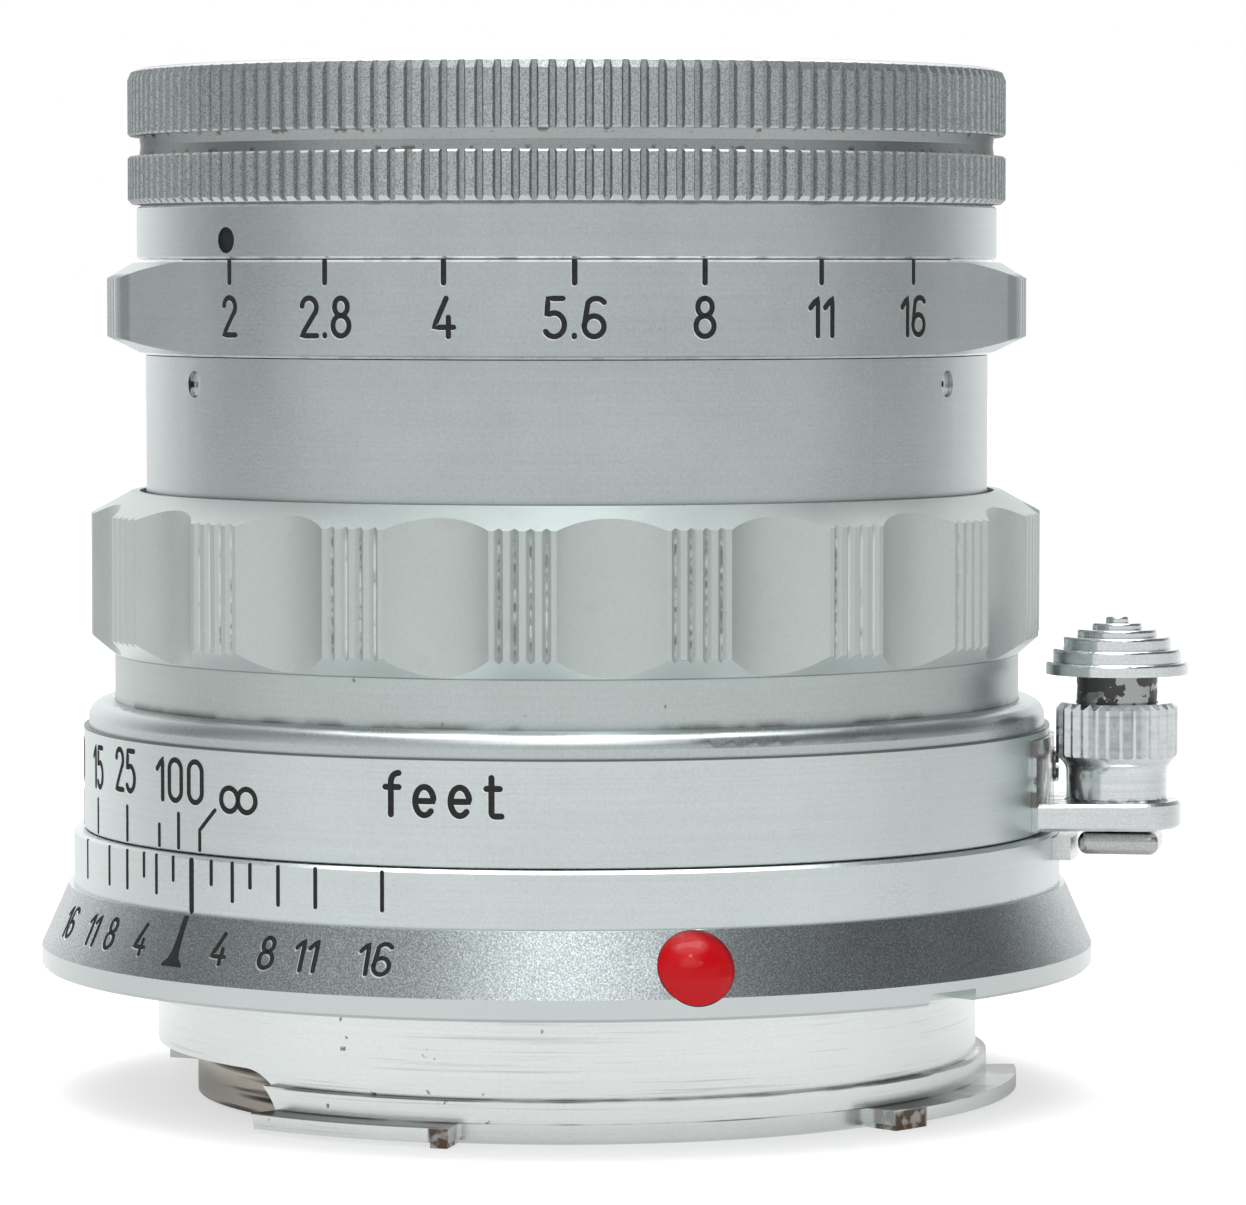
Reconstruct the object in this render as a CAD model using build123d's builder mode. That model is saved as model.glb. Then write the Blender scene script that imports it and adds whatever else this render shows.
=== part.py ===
from build123d import *
from math import acos, cos, degrees, hypot, radians, sin, sqrt
import os

# Prime lens for a rangefinder camera: 50 mm, f/2, bayonet mount, non-rotating head.
#
# Frame: the origin is on the optical axis at the rear face of the mount flange, the face that seats
# on the camera. +Z runs along the optical axis to the front of the lens. Azimuths are in degrees,
# measured from -Y and anticlockwise as seen from the front: the index line of the depth-of-field
# scale stands at azimuth 0.

# ---------------------------------------------------------------------------------------------
# Driving dimensions, in millimetres and degrees
# ---------------------------------------------------------------------------------------------

# Heights of the outside rings, stacked from the flange to the front
FLANGE_THICKNESS = 1.00
CONE_HEIGHT = 2.93
SCALE_HEIGHT = 2.64
TURNING_GAP = 0.05
DISTANCE_HEIGHT = 4.86
CLAMP_HEIGHT = 1.22
BAND_HEIGHT = 2.20
GRIP_HEIGHT = 7.77
BARREL_SHOWN = 6.47
SLIP_GAP = 0.05
APERTURE_HEIGHT = 4.46
INDEX_HEIGHT = 2.50
REAR_KNURL_HEIGHT = 2.38
GROOVE_HEIGHT = 0.96
FRONT_KNURL_HEIGHT = 3.16

# The barrel's radius, and how far the other rings stand in or out from it
BARREL_RADIUS = 20.17
GUIDE_STEP = 0.43
BAND_STEP = 1.10
GRIP_STEP = 1.10
CLAMP_STEP = 1.25
DISTANCE_STEP = 0.25
SCALE_STEP = 0.50
CONE_STEP = 0.25
CONE_INSET = 1.30
APERTURE_STEP = 0.43
WING_STEP = 1.40
INDEX_STEP = 0.41
KNURL_STEP = 0.83
GROOVE_STEP = 0.55
FILTER_WALL = 1.50

# Bayonet
SPIGOT_INSET = 0.90
SPIGOT_WALL = 0.80
SPIGOT_LENGTH = 4.20
STEP_RISE = 0.50
STEP_LENGTH = 1.05
RIM_RISE = 0.20
RIM_LENGTH = 0.95
LUG_RISE = 1.95
LUG_THICKNESS = 0.70
LUGS = [(114.0, 48.0), (8.0, 48.0), (194.0, 48.0), (268.2, 48.0)]
STOPS = [(93.2, 2.2), (30.7, 0.8)]
CUTOUT_ENDS = [-58.7, -2.7]
CUTOUT_CORNER = 2.9
CUTOUT_DEPTH = 2.6
NOTCH_AZIMUTH = 90.1
NOTCH_WIDTH = 3.1
NOTCH_HEIGHT = 0.55
NOTCH_DEPTH = 1.4
MOUNT_SCREW_STEP = 1.10
MOUNT_SCREW_COUNT = 4
MOUNT_SCREW_AZIMUTH = 43.0
MOUNT_SCREW_LENGTH = 4.6
MOUNT_SCREW_RADIUS = 0.8
MOUNT_SCREW_HEAD = 1.5
MOUNT_SCREW_SLOT = 0.35
TAP_RUNOUT = 0.30

# Alignment bead
BEAD_AZIMUTH = 59.6
BEAD_HEIGHT = 2.31
BEAD_RADIUS = 1.75
BEAD_RISE = 0.85
BEAD_SEAT = 0.60

# Guide tube, keys and focus retainer
GUIDE_WALL = 0.85
GUIDE_BASE_STEP = 2.00
GUIDE_BASE_HEIGHT = 1.40
GUIDE_TUBE_HEIGHT = 8.40
KEY_AZIMUTHS = [20.0, 200.0]
KEY_WIDTH = 2.50
KEY_DEPTH = 0.70
KEY_BOTTOM = 3.0
KEY_LENGTH = 6.0
KEY_SCREW_RADIUS = 0.5
RETAINER_WALL = 0.70
RETAINER_HEIGHT = 1.05
RETAINER_SLOT_WIDTH = 1.6
RETAINER_SLOT_DEPTH = 0.4

# Focusing
FOCUS_TRAVEL = 117.0
HEAD_TRAVEL = 2.80
THREAD_STARTS = 4
THREAD_DEPTH = 0.30
THREAD_CLEARANCE = 0.05
THREAD_OVER_BARREL = 0.13
LINER_OVERLAP = 0.10
HEAD_THREAD_LENGTH = 8.0
HEAD_THREAD_RISE = 1.10
STOP_PIN_STEP = 1.50
STOP_PIN_RADIUS = 0.40
STOP_PIN_RISE = 0.90
STOP_PIN_GRIP = 1.10
STOP_PIN_OFFSET = 60.0
STOP_GROOVE_CLEARANCE = 0.10
SLEEVE_CLEARANCE = 0.30
LIP_CLEARANCE = 0.10
POCKET_CLEARANCE = 0.20
DISTANCE_BEVEL = 0.06
CLAMP_FILLET = 0.80

# Grip
GRIP_BAYS = 18
GRIP_PHASE = 1.2
SCALLOP_RADIUS = 4.1
SCALLOP_DEPTH = 0.95
GRIP_GROOVES = 4
GRIP_GROOVE_PITCH = 1.8
GRIP_GROOVE_WIDTH = 0.30
GRIP_CHAMFER = 1.05
GRIP_BASE_BEVEL = 0.95
GRIP_WALL = 1.60
GRIP_COVER = 1.12
GRIP_FACE = 1.90
GRIP_MOUTH_GAP = 0.33

# Infinity lock
LOCK_AZIMUTH = 126.2
LOCK_TRAVEL = 1.00
BRACKET_BOTTOM_GAP = 0.19
BRACKET_THICKNESS = 1.28
BRACKET_NOSE_RADIUS = 3.05
BRACKET_EDGE = 0.15
BRACKET_TAB_HEIGHT = 3.0
BRACKET_TAB_WALL = 0.60
BRACKET_TAB_RISE = 0.22
BRACKET_TAB_WIDTH = 8.0
BRACKET_SCREW_OFFSET = 4.0
BRACKET_SCREW_RADIUS = 0.43
BRACKET_SCREW_LENGTH = 1.20
BRACKET_SCREW_HEAD = 0.85
BRACKET_SCREW_DOME = 0.25
POST_RADIUS = 2.39
POST_HEIGHT = 4.64
POST_FOOT = 0.12
POST_WAIST_HEIGHT = 1.35
COLLAR_RADIUS = 2.885
COLLAR_HEIGHT = 2.40
COLLAR_TEETH = 28
COLLAR_TOOTH_CUT = 0.44
COLLAR_CHAMFER = 0.25
STEM_RADIUS = 1.915
STEM_CLEARANCE = 0.35
STEM_HELD = 1.10
SPRING_FLOOR_HEIGHT = 0.40
TIER_EDGE = 0.14
BUTTON_TIERS = [(3.385, 0.58), (3.05, 0.62), (2.555, 0.57), (1.895, 0.35), (1.185, 0.30), (0.545, 0.30)]
ROD_RADIUS = 0.60
ROD_SOCKET = 0.50
TONGUE_THICKNESS = 1.09
TONGUE_WIDTH = 3.6
TONGUE_GAP = 0.20
TONGUE_BEHIND_ROD = 1.70
TONGUE_PAST_ROD = 2.10
TONGUE_FILLET = 0.45
TONGUE_DROP = 0.14
SPRING_WIRE = 0.16
SPRING_INSET = 0.45
SPRING_TURNS = 4.5
CATCH_HEIGHT = 1.10
CATCH_PROJECTION = 0.90
CATCH_WIDTH = 4.0
CATCH_SEAT = 0.60
CATCH_DROP = 0.17

# Aperture ring and iris
INDEX_AZIMUTH = -3.1
STOP_ANGLE = 16.5
STOP_COUNT = 6
WING_AZIMUTH = 47.2
WING_HALF_WIDTH = 15.0
WING_HEIGHT = 2.75
WING_BOTTOM = 0.85
APERTURE_BEVEL = 0.30
SERRATION_PITCH = 2.1
SERRATION_CUT = 0.44
APERTURE_PIN_RADIUS = 0.50
APERTURE_PIN_RISE = 1.81
APERTURE_PIN_INSET = 0.80
APERTURE_SLOT_CLEARANCE = 0.10
CLICK_BORE = 0.45
CLICK_BALL_RADIUS = 0.40
CLICK_BALL_GAP = 0.01
CLICK_CAP = 0.30
CLICK_COIL = 0.30
CLICK_WIRE = 0.08
CLICK_COIL_TURNS = 4
DETENT_RADIUS = 0.28
DETENT_DEPTH = 0.10
BLADE_COUNT = 10
BLADE_PIVOT_INSET = 1.35
BLADE_THICKNESS = 0.12
BLADE_SPACING = 0.20
BLADE_FLOOR_GAP = 0.10
IRIS_OPEN_RADIUS = 10.9
BLADE_ARM_WIDTH = 4.2
BLADE_ARM_ANGLE = 112.0
BLADE_ARM_LAP = 4.0
BLADE_EAR = 0.80
BLADE_EAR_MARGIN = 6.0
DRIVE_PIN_ANGLE = 10.0
DRIVE_PIN_STEP = 0.30
BLADE_PIN_RADIUS = 0.35
BLADE_PIN_SEAT = 0.50
BLADE_PIN_END = 0.10
CAM_RING_WALL = 0.70
CAM_PLATE_HEIGHT = 0.70
CAM_PLATE_RISE = 2.15
CAM_PLATE_LAP = 0.60
CHANNEL_DEPTH = 0.50
CHANNEL_WALL = 0.25
CHANNEL_INSET = 2.10

# Barrel, housing, front ring and cells
BARREL_WALL = 0.85
SHOULDER_HEIGHT = 2.90
SHOULDER_LAP = 0.55
HOUSING_GAP = 0.30
HOUSING_BASE_THICKNESS = 0.80
HOUSING_TOP_WALL = 0.50
BOSS_LENGTH = 2.90
BOSS_WALL = 1.05
HEAD_GAP = 0.50
HEAD_WALL = 1.10
HEAD_NECK_HEIGHT = 3.00
CAM_RING_HEIGHT = 11.10
HOUSING_BEARING_INSET = 1.77
HOUSING_WALL = 0.75
FRONT_CELL_INSET = 1.05
REAR_CELL_RADIUS = 12.95
SET_SCREW_AZIMUTH = -12.6
SET_SCREW_COUNT = 3
SET_SCREW_RADIUS = 0.60
SET_SCREW_DROP = 1.24
SET_SCREW_SINK = 0.20
SET_SCREW_LENGTH = 1.60
SET_SCREW_BORE_DEPTH = 1.90
SET_SCREW_SLOT = 0.26
SET_SCREW_SLOT_DEPTH = 0.35
SET_SCREW_TURN = 25.0
KNURL_COUNT = 160
KNURL_DEPTH = 0.20
KNURL_CREST = 0.50
KNURL_FLANK = 0.11
KNURL_EDGE = 0.22
MOUTH_FACE = 0.50
GROOVE_DISH = 0.06
DOT_RADIUS = 0.60
DOT_DEPTH = 0.25
DOT_DROP = 1.65
FILTER_THREAD_LENGTH = 3.50
NAME_RING_THICKNESS = 1.10
NAME_RING_BORE = 13.50
NAME_RING_RISE = 0.70
NAME_RING_DISH = 0.90
NAME_RING_LIP = 0.25
FILTER_MOUTH = 0.25
RECESS_STEP = 0.50
RING_EDGE = 0.10
FRONT_CELL_STEP = 0.40
CAM_TUBE_INSET = 1.10
CAM_TUBE_WALL = 0.80
CAM_TUBE_SHORT = 0.10
CAM_FLANGE_RISE = 0.50
CAM_FLANGE_HEIGHT = 3.10

# Clearances, edge breaks and how far a cut runs past the metal
RUNNING = 0.05
SEAT = 0.02
EDGE_BREAK = 0.15
PAST = 1.0

# ---------------------------------------------------------------------------------------------
# Radii and heights worked out from them
# ---------------------------------------------------------------------------------------------

GUIDE_RADIUS = BARREL_RADIUS + GUIDE_STEP
BAND_RADIUS = GUIDE_RADIUS + BAND_STEP
GRIP_RADIUS = BAND_RADIUS + GRIP_STEP
CLAMP_RADIUS = BAND_RADIUS + CLAMP_STEP
DISTANCE_RADIUS = CLAMP_RADIUS + DISTANCE_STEP
SCALE_RADIUS = DISTANCE_RADIUS + SCALE_STEP
CONE_TOP_RADIUS = SCALE_RADIUS + CONE_STEP
FLANGE_RADIUS = CONE_TOP_RADIUS + CONE_INSET
APERTURE_RADIUS = BARREL_RADIUS + APERTURE_STEP
WING_RADIUS = APERTURE_RADIUS + WING_STEP
INDEX_RADIUS = BARREL_RADIUS + INDEX_STEP
KNURL_RADIUS = BARREL_RADIUS + KNURL_STEP
GROOVE_RADIUS = KNURL_RADIUS - GROOVE_STEP
FILTER_RADIUS = KNURL_RADIUS - FILTER_WALL
GUIDE_BASE_RADIUS = GUIDE_RADIUS + GUIDE_BASE_STEP
MOUNT_SCREW_CIRCLE = GUIDE_RADIUS + MOUNT_SCREW_STEP
STOP_PIN_CIRCLE = GUIDE_RADIUS + STOP_PIN_STEP
SPIGOT_RADIUS = GUIDE_RADIUS - SPIGOT_INSET
SPIGOT_BORE = SPIGOT_RADIUS - SPIGOT_WALL
STEP_RADIUS = SPIGOT_RADIUS + STEP_RISE
RIM_RADIUS = SPIGOT_RADIUS + RIM_RISE
LUG_RADIUS = SPIGOT_RADIUS + LUG_RISE
CAM_TUBE_RADIUS = SPIGOT_BORE - CAM_TUBE_INSET
CAM_TUBE_BORE = CAM_TUBE_RADIUS - CAM_TUBE_WALL
HOUSING_BEARING_RADIUS = BARREL_RADIUS - HOUSING_BEARING_INSET
HOUSING_BORE = HOUSING_BEARING_RADIUS - HOUSING_WALL
FRONT_CELL_RADIUS = HOUSING_BORE - FRONT_CELL_INSET
BLADE_PIVOT_CIRCLE = HOUSING_BORE - BLADE_PIVOT_INSET
CHANNEL_BORE = BLADE_PIVOT_CIRCLE - CHANNEL_INSET
CATCH_REACH = SCALE_RADIUS + CATCH_PROJECTION
TONGUE_INNER = CATCH_REACH + TONGUE_GAP
LOCK_REACH = TONGUE_INNER + TONGUE_BEHIND_ROD
TONGUE_OUTER = LOCK_REACH + TONGUE_PAST_ROD
CONE_TOP = FLANGE_THICKNESS + CONE_HEIGHT
SCALE_TOP = CONE_TOP + SCALE_HEIGHT
DISTANCE_BOTTOM = SCALE_TOP + TURNING_GAP
DISTANCE_TOP = DISTANCE_BOTTOM + DISTANCE_HEIGHT
CLAMP_TOP = DISTANCE_TOP + CLAMP_HEIGHT
BAND_TOP = CLAMP_TOP + BAND_HEIGHT
GRIP_TOP = BAND_TOP + GRIP_HEIGHT
BARREL_TOP = GRIP_TOP + BARREL_SHOWN
APERTURE_BOTTOM = BARREL_TOP + SLIP_GAP
APERTURE_TOP = APERTURE_BOTTOM + APERTURE_HEIGHT
INDEX_BOTTOM = APERTURE_TOP + SLIP_GAP
INDEX_TOP = INDEX_BOTTOM + INDEX_HEIGHT
GROOVE_BOTTOM = INDEX_TOP + REAR_KNURL_HEIGHT
GROOVE_TOP = GROOVE_BOTTOM + GROOVE_HEIGHT
FRONT = GROOVE_TOP + FRONT_KNURL_HEIGHT
STEP_TOP = -SPIGOT_LENGTH
STEP_BOTTOM = STEP_TOP - STEP_LENGTH
REAR = STEP_BOTTOM - RIM_LENGTH

os.makedirs("parts", exist_ok=True)


# ---------------------------------------------------------------------------------------------
# Helpers
# ---------------------------------------------------------------------------------------------

def spot(azimuth, radius, height=0.0):
    """The point at an azimuth, a radius and a height."""
    turn_angle = radians(azimuth)
    return (radius * sin(turn_angle), -radius * cos(turn_angle), height)


def facing_out(azimuth, radius, height, tilt=0.0):
    """A plane whose normal points away from the lens axis; tilt raises the normal towards the front."""
    turn_angle = radians(azimuth)
    side = (cos(turn_angle), sin(turn_angle), 0)
    level, rise = cos(radians(tilt)), sin(radians(tilt))
    normal = (level * sin(turn_angle), -level * cos(turn_angle), rise)
    return Plane(origin=spot(azimuth, radius, height), x_dir=side, z_dir=normal)


def turned(corners, mode=Mode.ADD):
    """Turn a closed outline of (radius, height) corners about the lens axis."""
    with BuildSketch(Plane.XZ) as outline:
        with BuildLine():
            Polyline(*corners, close=True)
        make_face()
    revolve(outline.sketch, axis=Axis.Z, mode=mode)


def tube(outer, inner, bottom, top, mode=Mode.ADD):
    """A plain ring."""
    turned([(inner, bottom), (outer, bottom), (outer, top), (inner, top)], mode)


def sector(outer, inner, azimuth, width, bottom, top, mode=Mode.ADD):
    """A piece of a ring, width degrees wide and centred on an azimuth."""
    start = azimuth - 90 - width / 2
    with BuildSketch(Plane.XY.offset(bottom)) as outline:
        with BuildLine():
            outside = CenterArc((0, 0), outer, start, width)
            inside = CenterArc((0, 0), inner, start, width)
            Line(outside @ 0, inside @ 0)
            Line(outside @ 1, inside @ 1)
        make_face()
    extrude(outline.sketch, amount=top - bottom, mode=mode)


def drill(plane, radius, depth, mode=Mode.SUBTRACT):
    """A round hole or a pin that starts on a plane and runs against its normal."""
    with BuildSketch(plane) as outline:
        Circle(radius)
    extrude(outline.sketch, amount=-depth, mode=mode)


def block(plane, width, height, depth, mode=Mode.ADD):
    """A rectangular block or pocket that starts on a plane and runs against its normal."""
    with BuildSketch(plane) as outline:
        Rectangle(width, height)
    extrude(outline.sketch, amount=-depth, mode=mode)


def save(piece, label):
    """Label a finished piece and write its STEP file."""
    piece.part.label = label
    export_step(piece.part, f"parts/{label}.step")


def evenly(count, start):
    """Azimuths of a count of places spread evenly about the axis."""
    return [start + 360 / count * index for index in range(count)]


# ---------------------------------------------------------------------------------------------
# Mount: what stays with the camera
# ---------------------------------------------------------------------------------------------

mount_screw_azimuths = evenly(MOUNT_SCREW_COUNT, MOUNT_SCREW_AZIMUTH)
SCREW_HEAD_HEIGHT = MOUNT_SCREW_HEAD - MOUNT_SCREW_RADIUS
CONE_TILT = degrees(acos(CONE_HEIGHT / hypot(CONE_HEIGHT, CONE_INSET)))
BEAD_SEAT_RADIUS = FLANGE_RADIUS - CONE_INSET * (BEAD_HEIGHT - FLANGE_THICKNESS) / CONE_HEIGHT
bead_plane = facing_out(BEAD_AZIMUTH, BEAD_SEAT_RADIUS, BEAD_HEIGHT, CONE_TILT)

with BuildPart() as bayonet_ring:
    turned([
        (SPIGOT_BORE, REAR), (RIM_RADIUS - EDGE_BREAK, REAR), (RIM_RADIUS, REAR + EDGE_BREAK),
        (RIM_RADIUS, STEP_BOTTOM), (STEP_RADIUS, STEP_BOTTOM), (STEP_RADIUS, STEP_TOP),
        (SPIGOT_RADIUS, STEP_TOP), (SPIGOT_RADIUS, 0), (FLANGE_RADIUS - EDGE_BREAK, 0),
        (FLANGE_RADIUS, EDGE_BREAK), (FLANGE_RADIUS, FLANGE_THICKNESS), (SPIGOT_BORE, FLANGE_THICKNESS),
    ])
    for lug_azimuth, lug_width in LUGS:
        sector(LUG_RADIUS, SPIGOT_BORE, lug_azimuth, lug_width, STEP_BOTTOM - LUG_THICKNESS, STEP_BOTTOM)
    for stop_azimuth, stop_width in STOPS:
        stop_angle = degrees(stop_width / LUG_RADIUS)
        sector(LUG_RADIUS, SPIGOT_BORE, stop_azimuth, stop_angle, REAR, STEP_BOTTOM)
    sector(LUG_RADIUS + PAST, SPIGOT_BORE - PAST, sum(CUTOUT_ENDS) / 2, CUTOUT_ENDS[1] - CUTOUT_ENDS[0],
           REAR - PAST, REAR + CUTOUT_DEPTH, Mode.SUBTRACT)
    for cutout_end in CUTOUT_ENDS:
        drill(facing_out(cutout_end, LUG_RADIUS + PAST, REAR + CUTOUT_DEPTH - CUTOUT_CORNER), CUTOUT_CORNER,
              LUG_RADIUS - SPIGOT_BORE + 3 * PAST)
    notch_plane = facing_out(NOTCH_AZIMUTH, FLANGE_RADIUS + PAST, 0)
    block(notch_plane, NOTCH_WIDTH, 2 * NOTCH_HEIGHT, NOTCH_DEPTH + PAST, Mode.SUBTRACT)
    for screw_azimuth in mount_screw_azimuths:
        with BuildSketch(Plane.XY):
            with Locations(spot(screw_azimuth, MOUNT_SCREW_CIRCLE)[:2]):
                Circle(MOUNT_SCREW_HEAD + SEAT)
        extrude(amount=SCREW_HEAD_HEIGHT, taper=45, mode=Mode.SUBTRACT)
        with BuildSketch(Plane.XY):
            with Locations(spot(screw_azimuth, MOUNT_SCREW_CIRCLE)[:2]):
                Circle(MOUNT_SCREW_RADIUS + SEAT)
        extrude(amount=FLANGE_THICKNESS, mode=Mode.SUBTRACT)
    drill(bead_plane.offset(BEAD_RISE), BEAD_RADIUS + SEAT, BEAD_RISE + BEAD_SEAT)
save(bayonet_ring, "bayonet_ring")

with BuildPart() as mount_screw:
    turned([(0, 0), (MOUNT_SCREW_HEAD, 0), (MOUNT_SCREW_RADIUS, SCREW_HEAD_HEIGHT),
            (MOUNT_SCREW_RADIUS, MOUNT_SCREW_LENGTH), (0, MOUNT_SCREW_LENGTH)])
    slot_plane = Plane.XY.offset(MOUNT_SCREW_SLOT)
    block(slot_plane, 2 * MOUNT_SCREW_HEAD + PAST, MOUNT_SCREW_SLOT, MOUNT_SCREW_SLOT + PAST, Mode.SUBTRACT)

with BuildPart() as mount_screws:
    for screw_azimuth in mount_screw_azimuths:
        add(Pos(*spot(screw_azimuth, MOUNT_SCREW_CIRCLE)) * Rotation(0, 0, screw_azimuth) * mount_screw.part)
save(mount_screws, "mount_screws")

GUIDE_BASE_TOP = FLANGE_THICKNESS + GUIDE_BASE_HEIGHT
GUIDE_TOP = FLANGE_THICKNESS + GUIDE_TUBE_HEIGHT
GUIDE_BORE = GUIDE_RADIUS - GUIDE_WALL
CATCH_ROOT = SCALE_RADIUS - CATCH_SEAT
CATCH_TOP = SCALE_TOP - CATCH_DROP
CATCH_ANGLE = degrees(CATCH_WIDTH / SCALE_RADIUS)
SIDE_SEAT = degrees(SEAT / SCALE_RADIUS)
TAPPED_TOP = MOUNT_SCREW_LENGTH + TAP_RUNOUT
KEY_TOP = KEY_BOTTOM + KEY_LENGTH
KEY_MIDDLE = (KEY_BOTTOM + KEY_TOP) / 2
stop_pin_azimuth = LOCK_AZIMUTH + STOP_PIN_OFFSET

with BuildPart() as depth_scale_ring:
    turned([
        (GUIDE_BASE_RADIUS + SEAT, FLANGE_THICKNESS), (FLANGE_RADIUS, FLANGE_THICKNESS),
        (CONE_TOP_RADIUS, CONE_TOP), (SCALE_RADIUS, CONE_TOP), (SCALE_RADIUS, SCALE_TOP - EDGE_BREAK),
        (SCALE_RADIUS - EDGE_BREAK, SCALE_TOP), (GUIDE_RADIUS + SEAT, SCALE_TOP),
        (GUIDE_RADIUS + SEAT, GUIDE_BASE_TOP), (GUIDE_BASE_RADIUS + SEAT, GUIDE_BASE_TOP),
    ])
    drill(bead_plane.offset(BEAD_RISE), BEAD_RADIUS + SEAT, BEAD_RISE + BEAD_SEAT)
    sector(SCALE_RADIUS + PAST, CATCH_ROOT, LOCK_AZIMUTH, CATCH_ANGLE + 2 * SIDE_SEAT,
           CATCH_TOP - CATCH_HEIGHT, CATCH_TOP, Mode.SUBTRACT)
    for screw_azimuth in mount_screw_azimuths:
        tap = Plane(origin=spot(screw_azimuth, MOUNT_SCREW_CIRCLE, TAPPED_TOP))
        drill(tap, MOUNT_SCREW_RADIUS + SEAT, TAPPED_TOP - GUIDE_BASE_TOP)
    drill(Plane(origin=spot(stop_pin_azimuth, STOP_PIN_CIRCLE, SCALE_TOP)), STOP_PIN_RADIUS,
          STOP_PIN_GRIP + RUNNING)
save(depth_scale_ring, "depth_scale_ring")

with BuildPart() as index_bead:
    drill(bead_plane, BEAD_RADIUS, BEAD_SEAT, Mode.ADD)
    crown_radius = (BEAD_RADIUS ** 2 + BEAD_RISE ** 2) / (2 * BEAD_RISE)
    crown_centre = bead_plane.offset(BEAD_RISE - crown_radius)
    with Locations(crown_centre):
        Sphere(crown_radius)
    split(bisect_by=bead_plane.offset(-BEAD_SEAT), keep=Keep.TOP)
    drill(bead_plane.offset(BEAD_RISE), BEAD_RADIUS, BEAD_RISE + BEAD_SEAT, Mode.INTERSECT)
save(index_bead, "index_bead")

with BuildPart() as guide_tube:
    turned([
        (GUIDE_BORE, FLANGE_THICKNESS), (GUIDE_BASE_RADIUS, FLANGE_THICKNESS),
        (GUIDE_BASE_RADIUS, GUIDE_BASE_TOP), (GUIDE_RADIUS, GUIDE_BASE_TOP),
        (GUIDE_RADIUS, GUIDE_TOP), (GUIDE_BORE, GUIDE_TOP),
    ])
    for screw_azimuth in mount_screw_azimuths:
        tap = Plane(origin=spot(screw_azimuth, MOUNT_SCREW_CIRCLE, GUIDE_BASE_TOP))
        drill(tap, MOUNT_SCREW_RADIUS + SEAT, GUIDE_BASE_HEIGHT)
    for key_azimuth in KEY_AZIMUTHS:
        drill(facing_out(key_azimuth, GUIDE_RADIUS, KEY_MIDDLE), KEY_SCREW_RADIUS + SEAT,
              2 * GUIDE_WALL)
save(guide_tube, "guide_tube")

with BuildPart() as guide_keys:
    key_angle = degrees(KEY_WIDTH / GUIDE_BORE)
    for key_azimuth in KEY_AZIMUTHS:
        sector(GUIDE_BORE, GUIDE_BORE - KEY_DEPTH, key_azimuth, key_angle, KEY_BOTTOM, KEY_TOP)
        drill(facing_out(key_azimuth, GUIDE_RADIUS, KEY_MIDDLE), KEY_SCREW_RADIUS + SEAT,
              3 * GUIDE_WALL)
save(guide_keys, "guide_keys")

with BuildPart() as key_screws:
    for key_azimuth in KEY_AZIMUTHS:
        drill(facing_out(key_azimuth, GUIDE_RADIUS - RUNNING, KEY_MIDDLE), KEY_SCREW_RADIUS,
              GUIDE_WALL + KEY_DEPTH - 2 * RUNNING, Mode.ADD)
save(key_screws, "key_screws")

RETAINER_TOP = GUIDE_TOP
RETAINER_BOTTOM = RETAINER_TOP - RETAINER_HEIGHT
RETAINER_RADIUS = GUIDE_RADIUS + RETAINER_WALL

with BuildPart() as focus_retainer:
    tube(RETAINER_RADIUS, GUIDE_RADIUS + SEAT, RETAINER_BOTTOM, RETAINER_TOP)
    for slot_azimuth in evenly(2, 0):
        block(facing_out(slot_azimuth, RETAINER_RADIUS + PAST, RETAINER_TOP), RETAINER_SLOT_WIDTH,
              2 * RETAINER_SLOT_DEPTH, RETAINER_WALL + 2 * PAST, Mode.SUBTRACT)
save(focus_retainer, "focus_retainer")

with BuildPart() as focus_stop_pin:
    drill(Plane(origin=spot(stop_pin_azimuth, STOP_PIN_CIRCLE, SCALE_TOP + STOP_PIN_RISE)),
          STOP_PIN_RADIUS - SEAT, STOP_PIN_RISE + STOP_PIN_GRIP, Mode.ADD)
save(focus_stop_pin, "focus_stop_pin")

with BuildPart() as lock_catch:
    sector(CATCH_REACH, CATCH_ROOT + SEAT, LOCK_AZIMUTH, CATCH_ANGLE, CATCH_TOP - CATCH_HEIGHT + SEAT,
           CATCH_TOP - SEAT)
save(lock_catch, "lock_catch")

# ---------------------------------------------------------------------------------------------
# Focusing ring: turns on the guide tube and drives the head through the helicoid
# ---------------------------------------------------------------------------------------------

LIP_TOP = RETAINER_BOTTOM - LIP_CLEARANCE
SLEEVE_BOTTOM = GUIDE_TOP + SLEEVE_CLEARANCE
LIP_BORE = GUIDE_RADIUS + RUNNING
POCKET_BORE = RETAINER_RADIUS + POCKET_CLEARANCE
BRACKET_BOTTOM = DISTANCE_BOTTOM + BRACKET_BOTTOM_GAP
BRACKET_TOP = BRACKET_BOTTOM + BRACKET_THICKNESS
TAB_ANGLE = degrees(BRACKET_TAB_WIDTH / DISTANCE_RADIUS)
TAB_ROOT = DISTANCE_RADIUS - BRACKET_TAB_WALL
TAB_TOP = BRACKET_TOP + BRACKET_TAB_HEIGHT
TAB_FACE = DISTANCE_RADIUS + BRACKET_TAB_RISE
bracket_screw_plane = facing_out(LOCK_AZIMUTH + BRACKET_SCREW_OFFSET, TAB_FACE,
                                 BRACKET_TOP + BRACKET_TAB_HEIGHT / 2)
STOP_GROOVE_HALF = STOP_PIN_RADIUS + STOP_GROOVE_CLEARANCE
STOP_GROOVE_END = degrees(STOP_GROOVE_HALF / STOP_PIN_CIRCLE)

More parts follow.
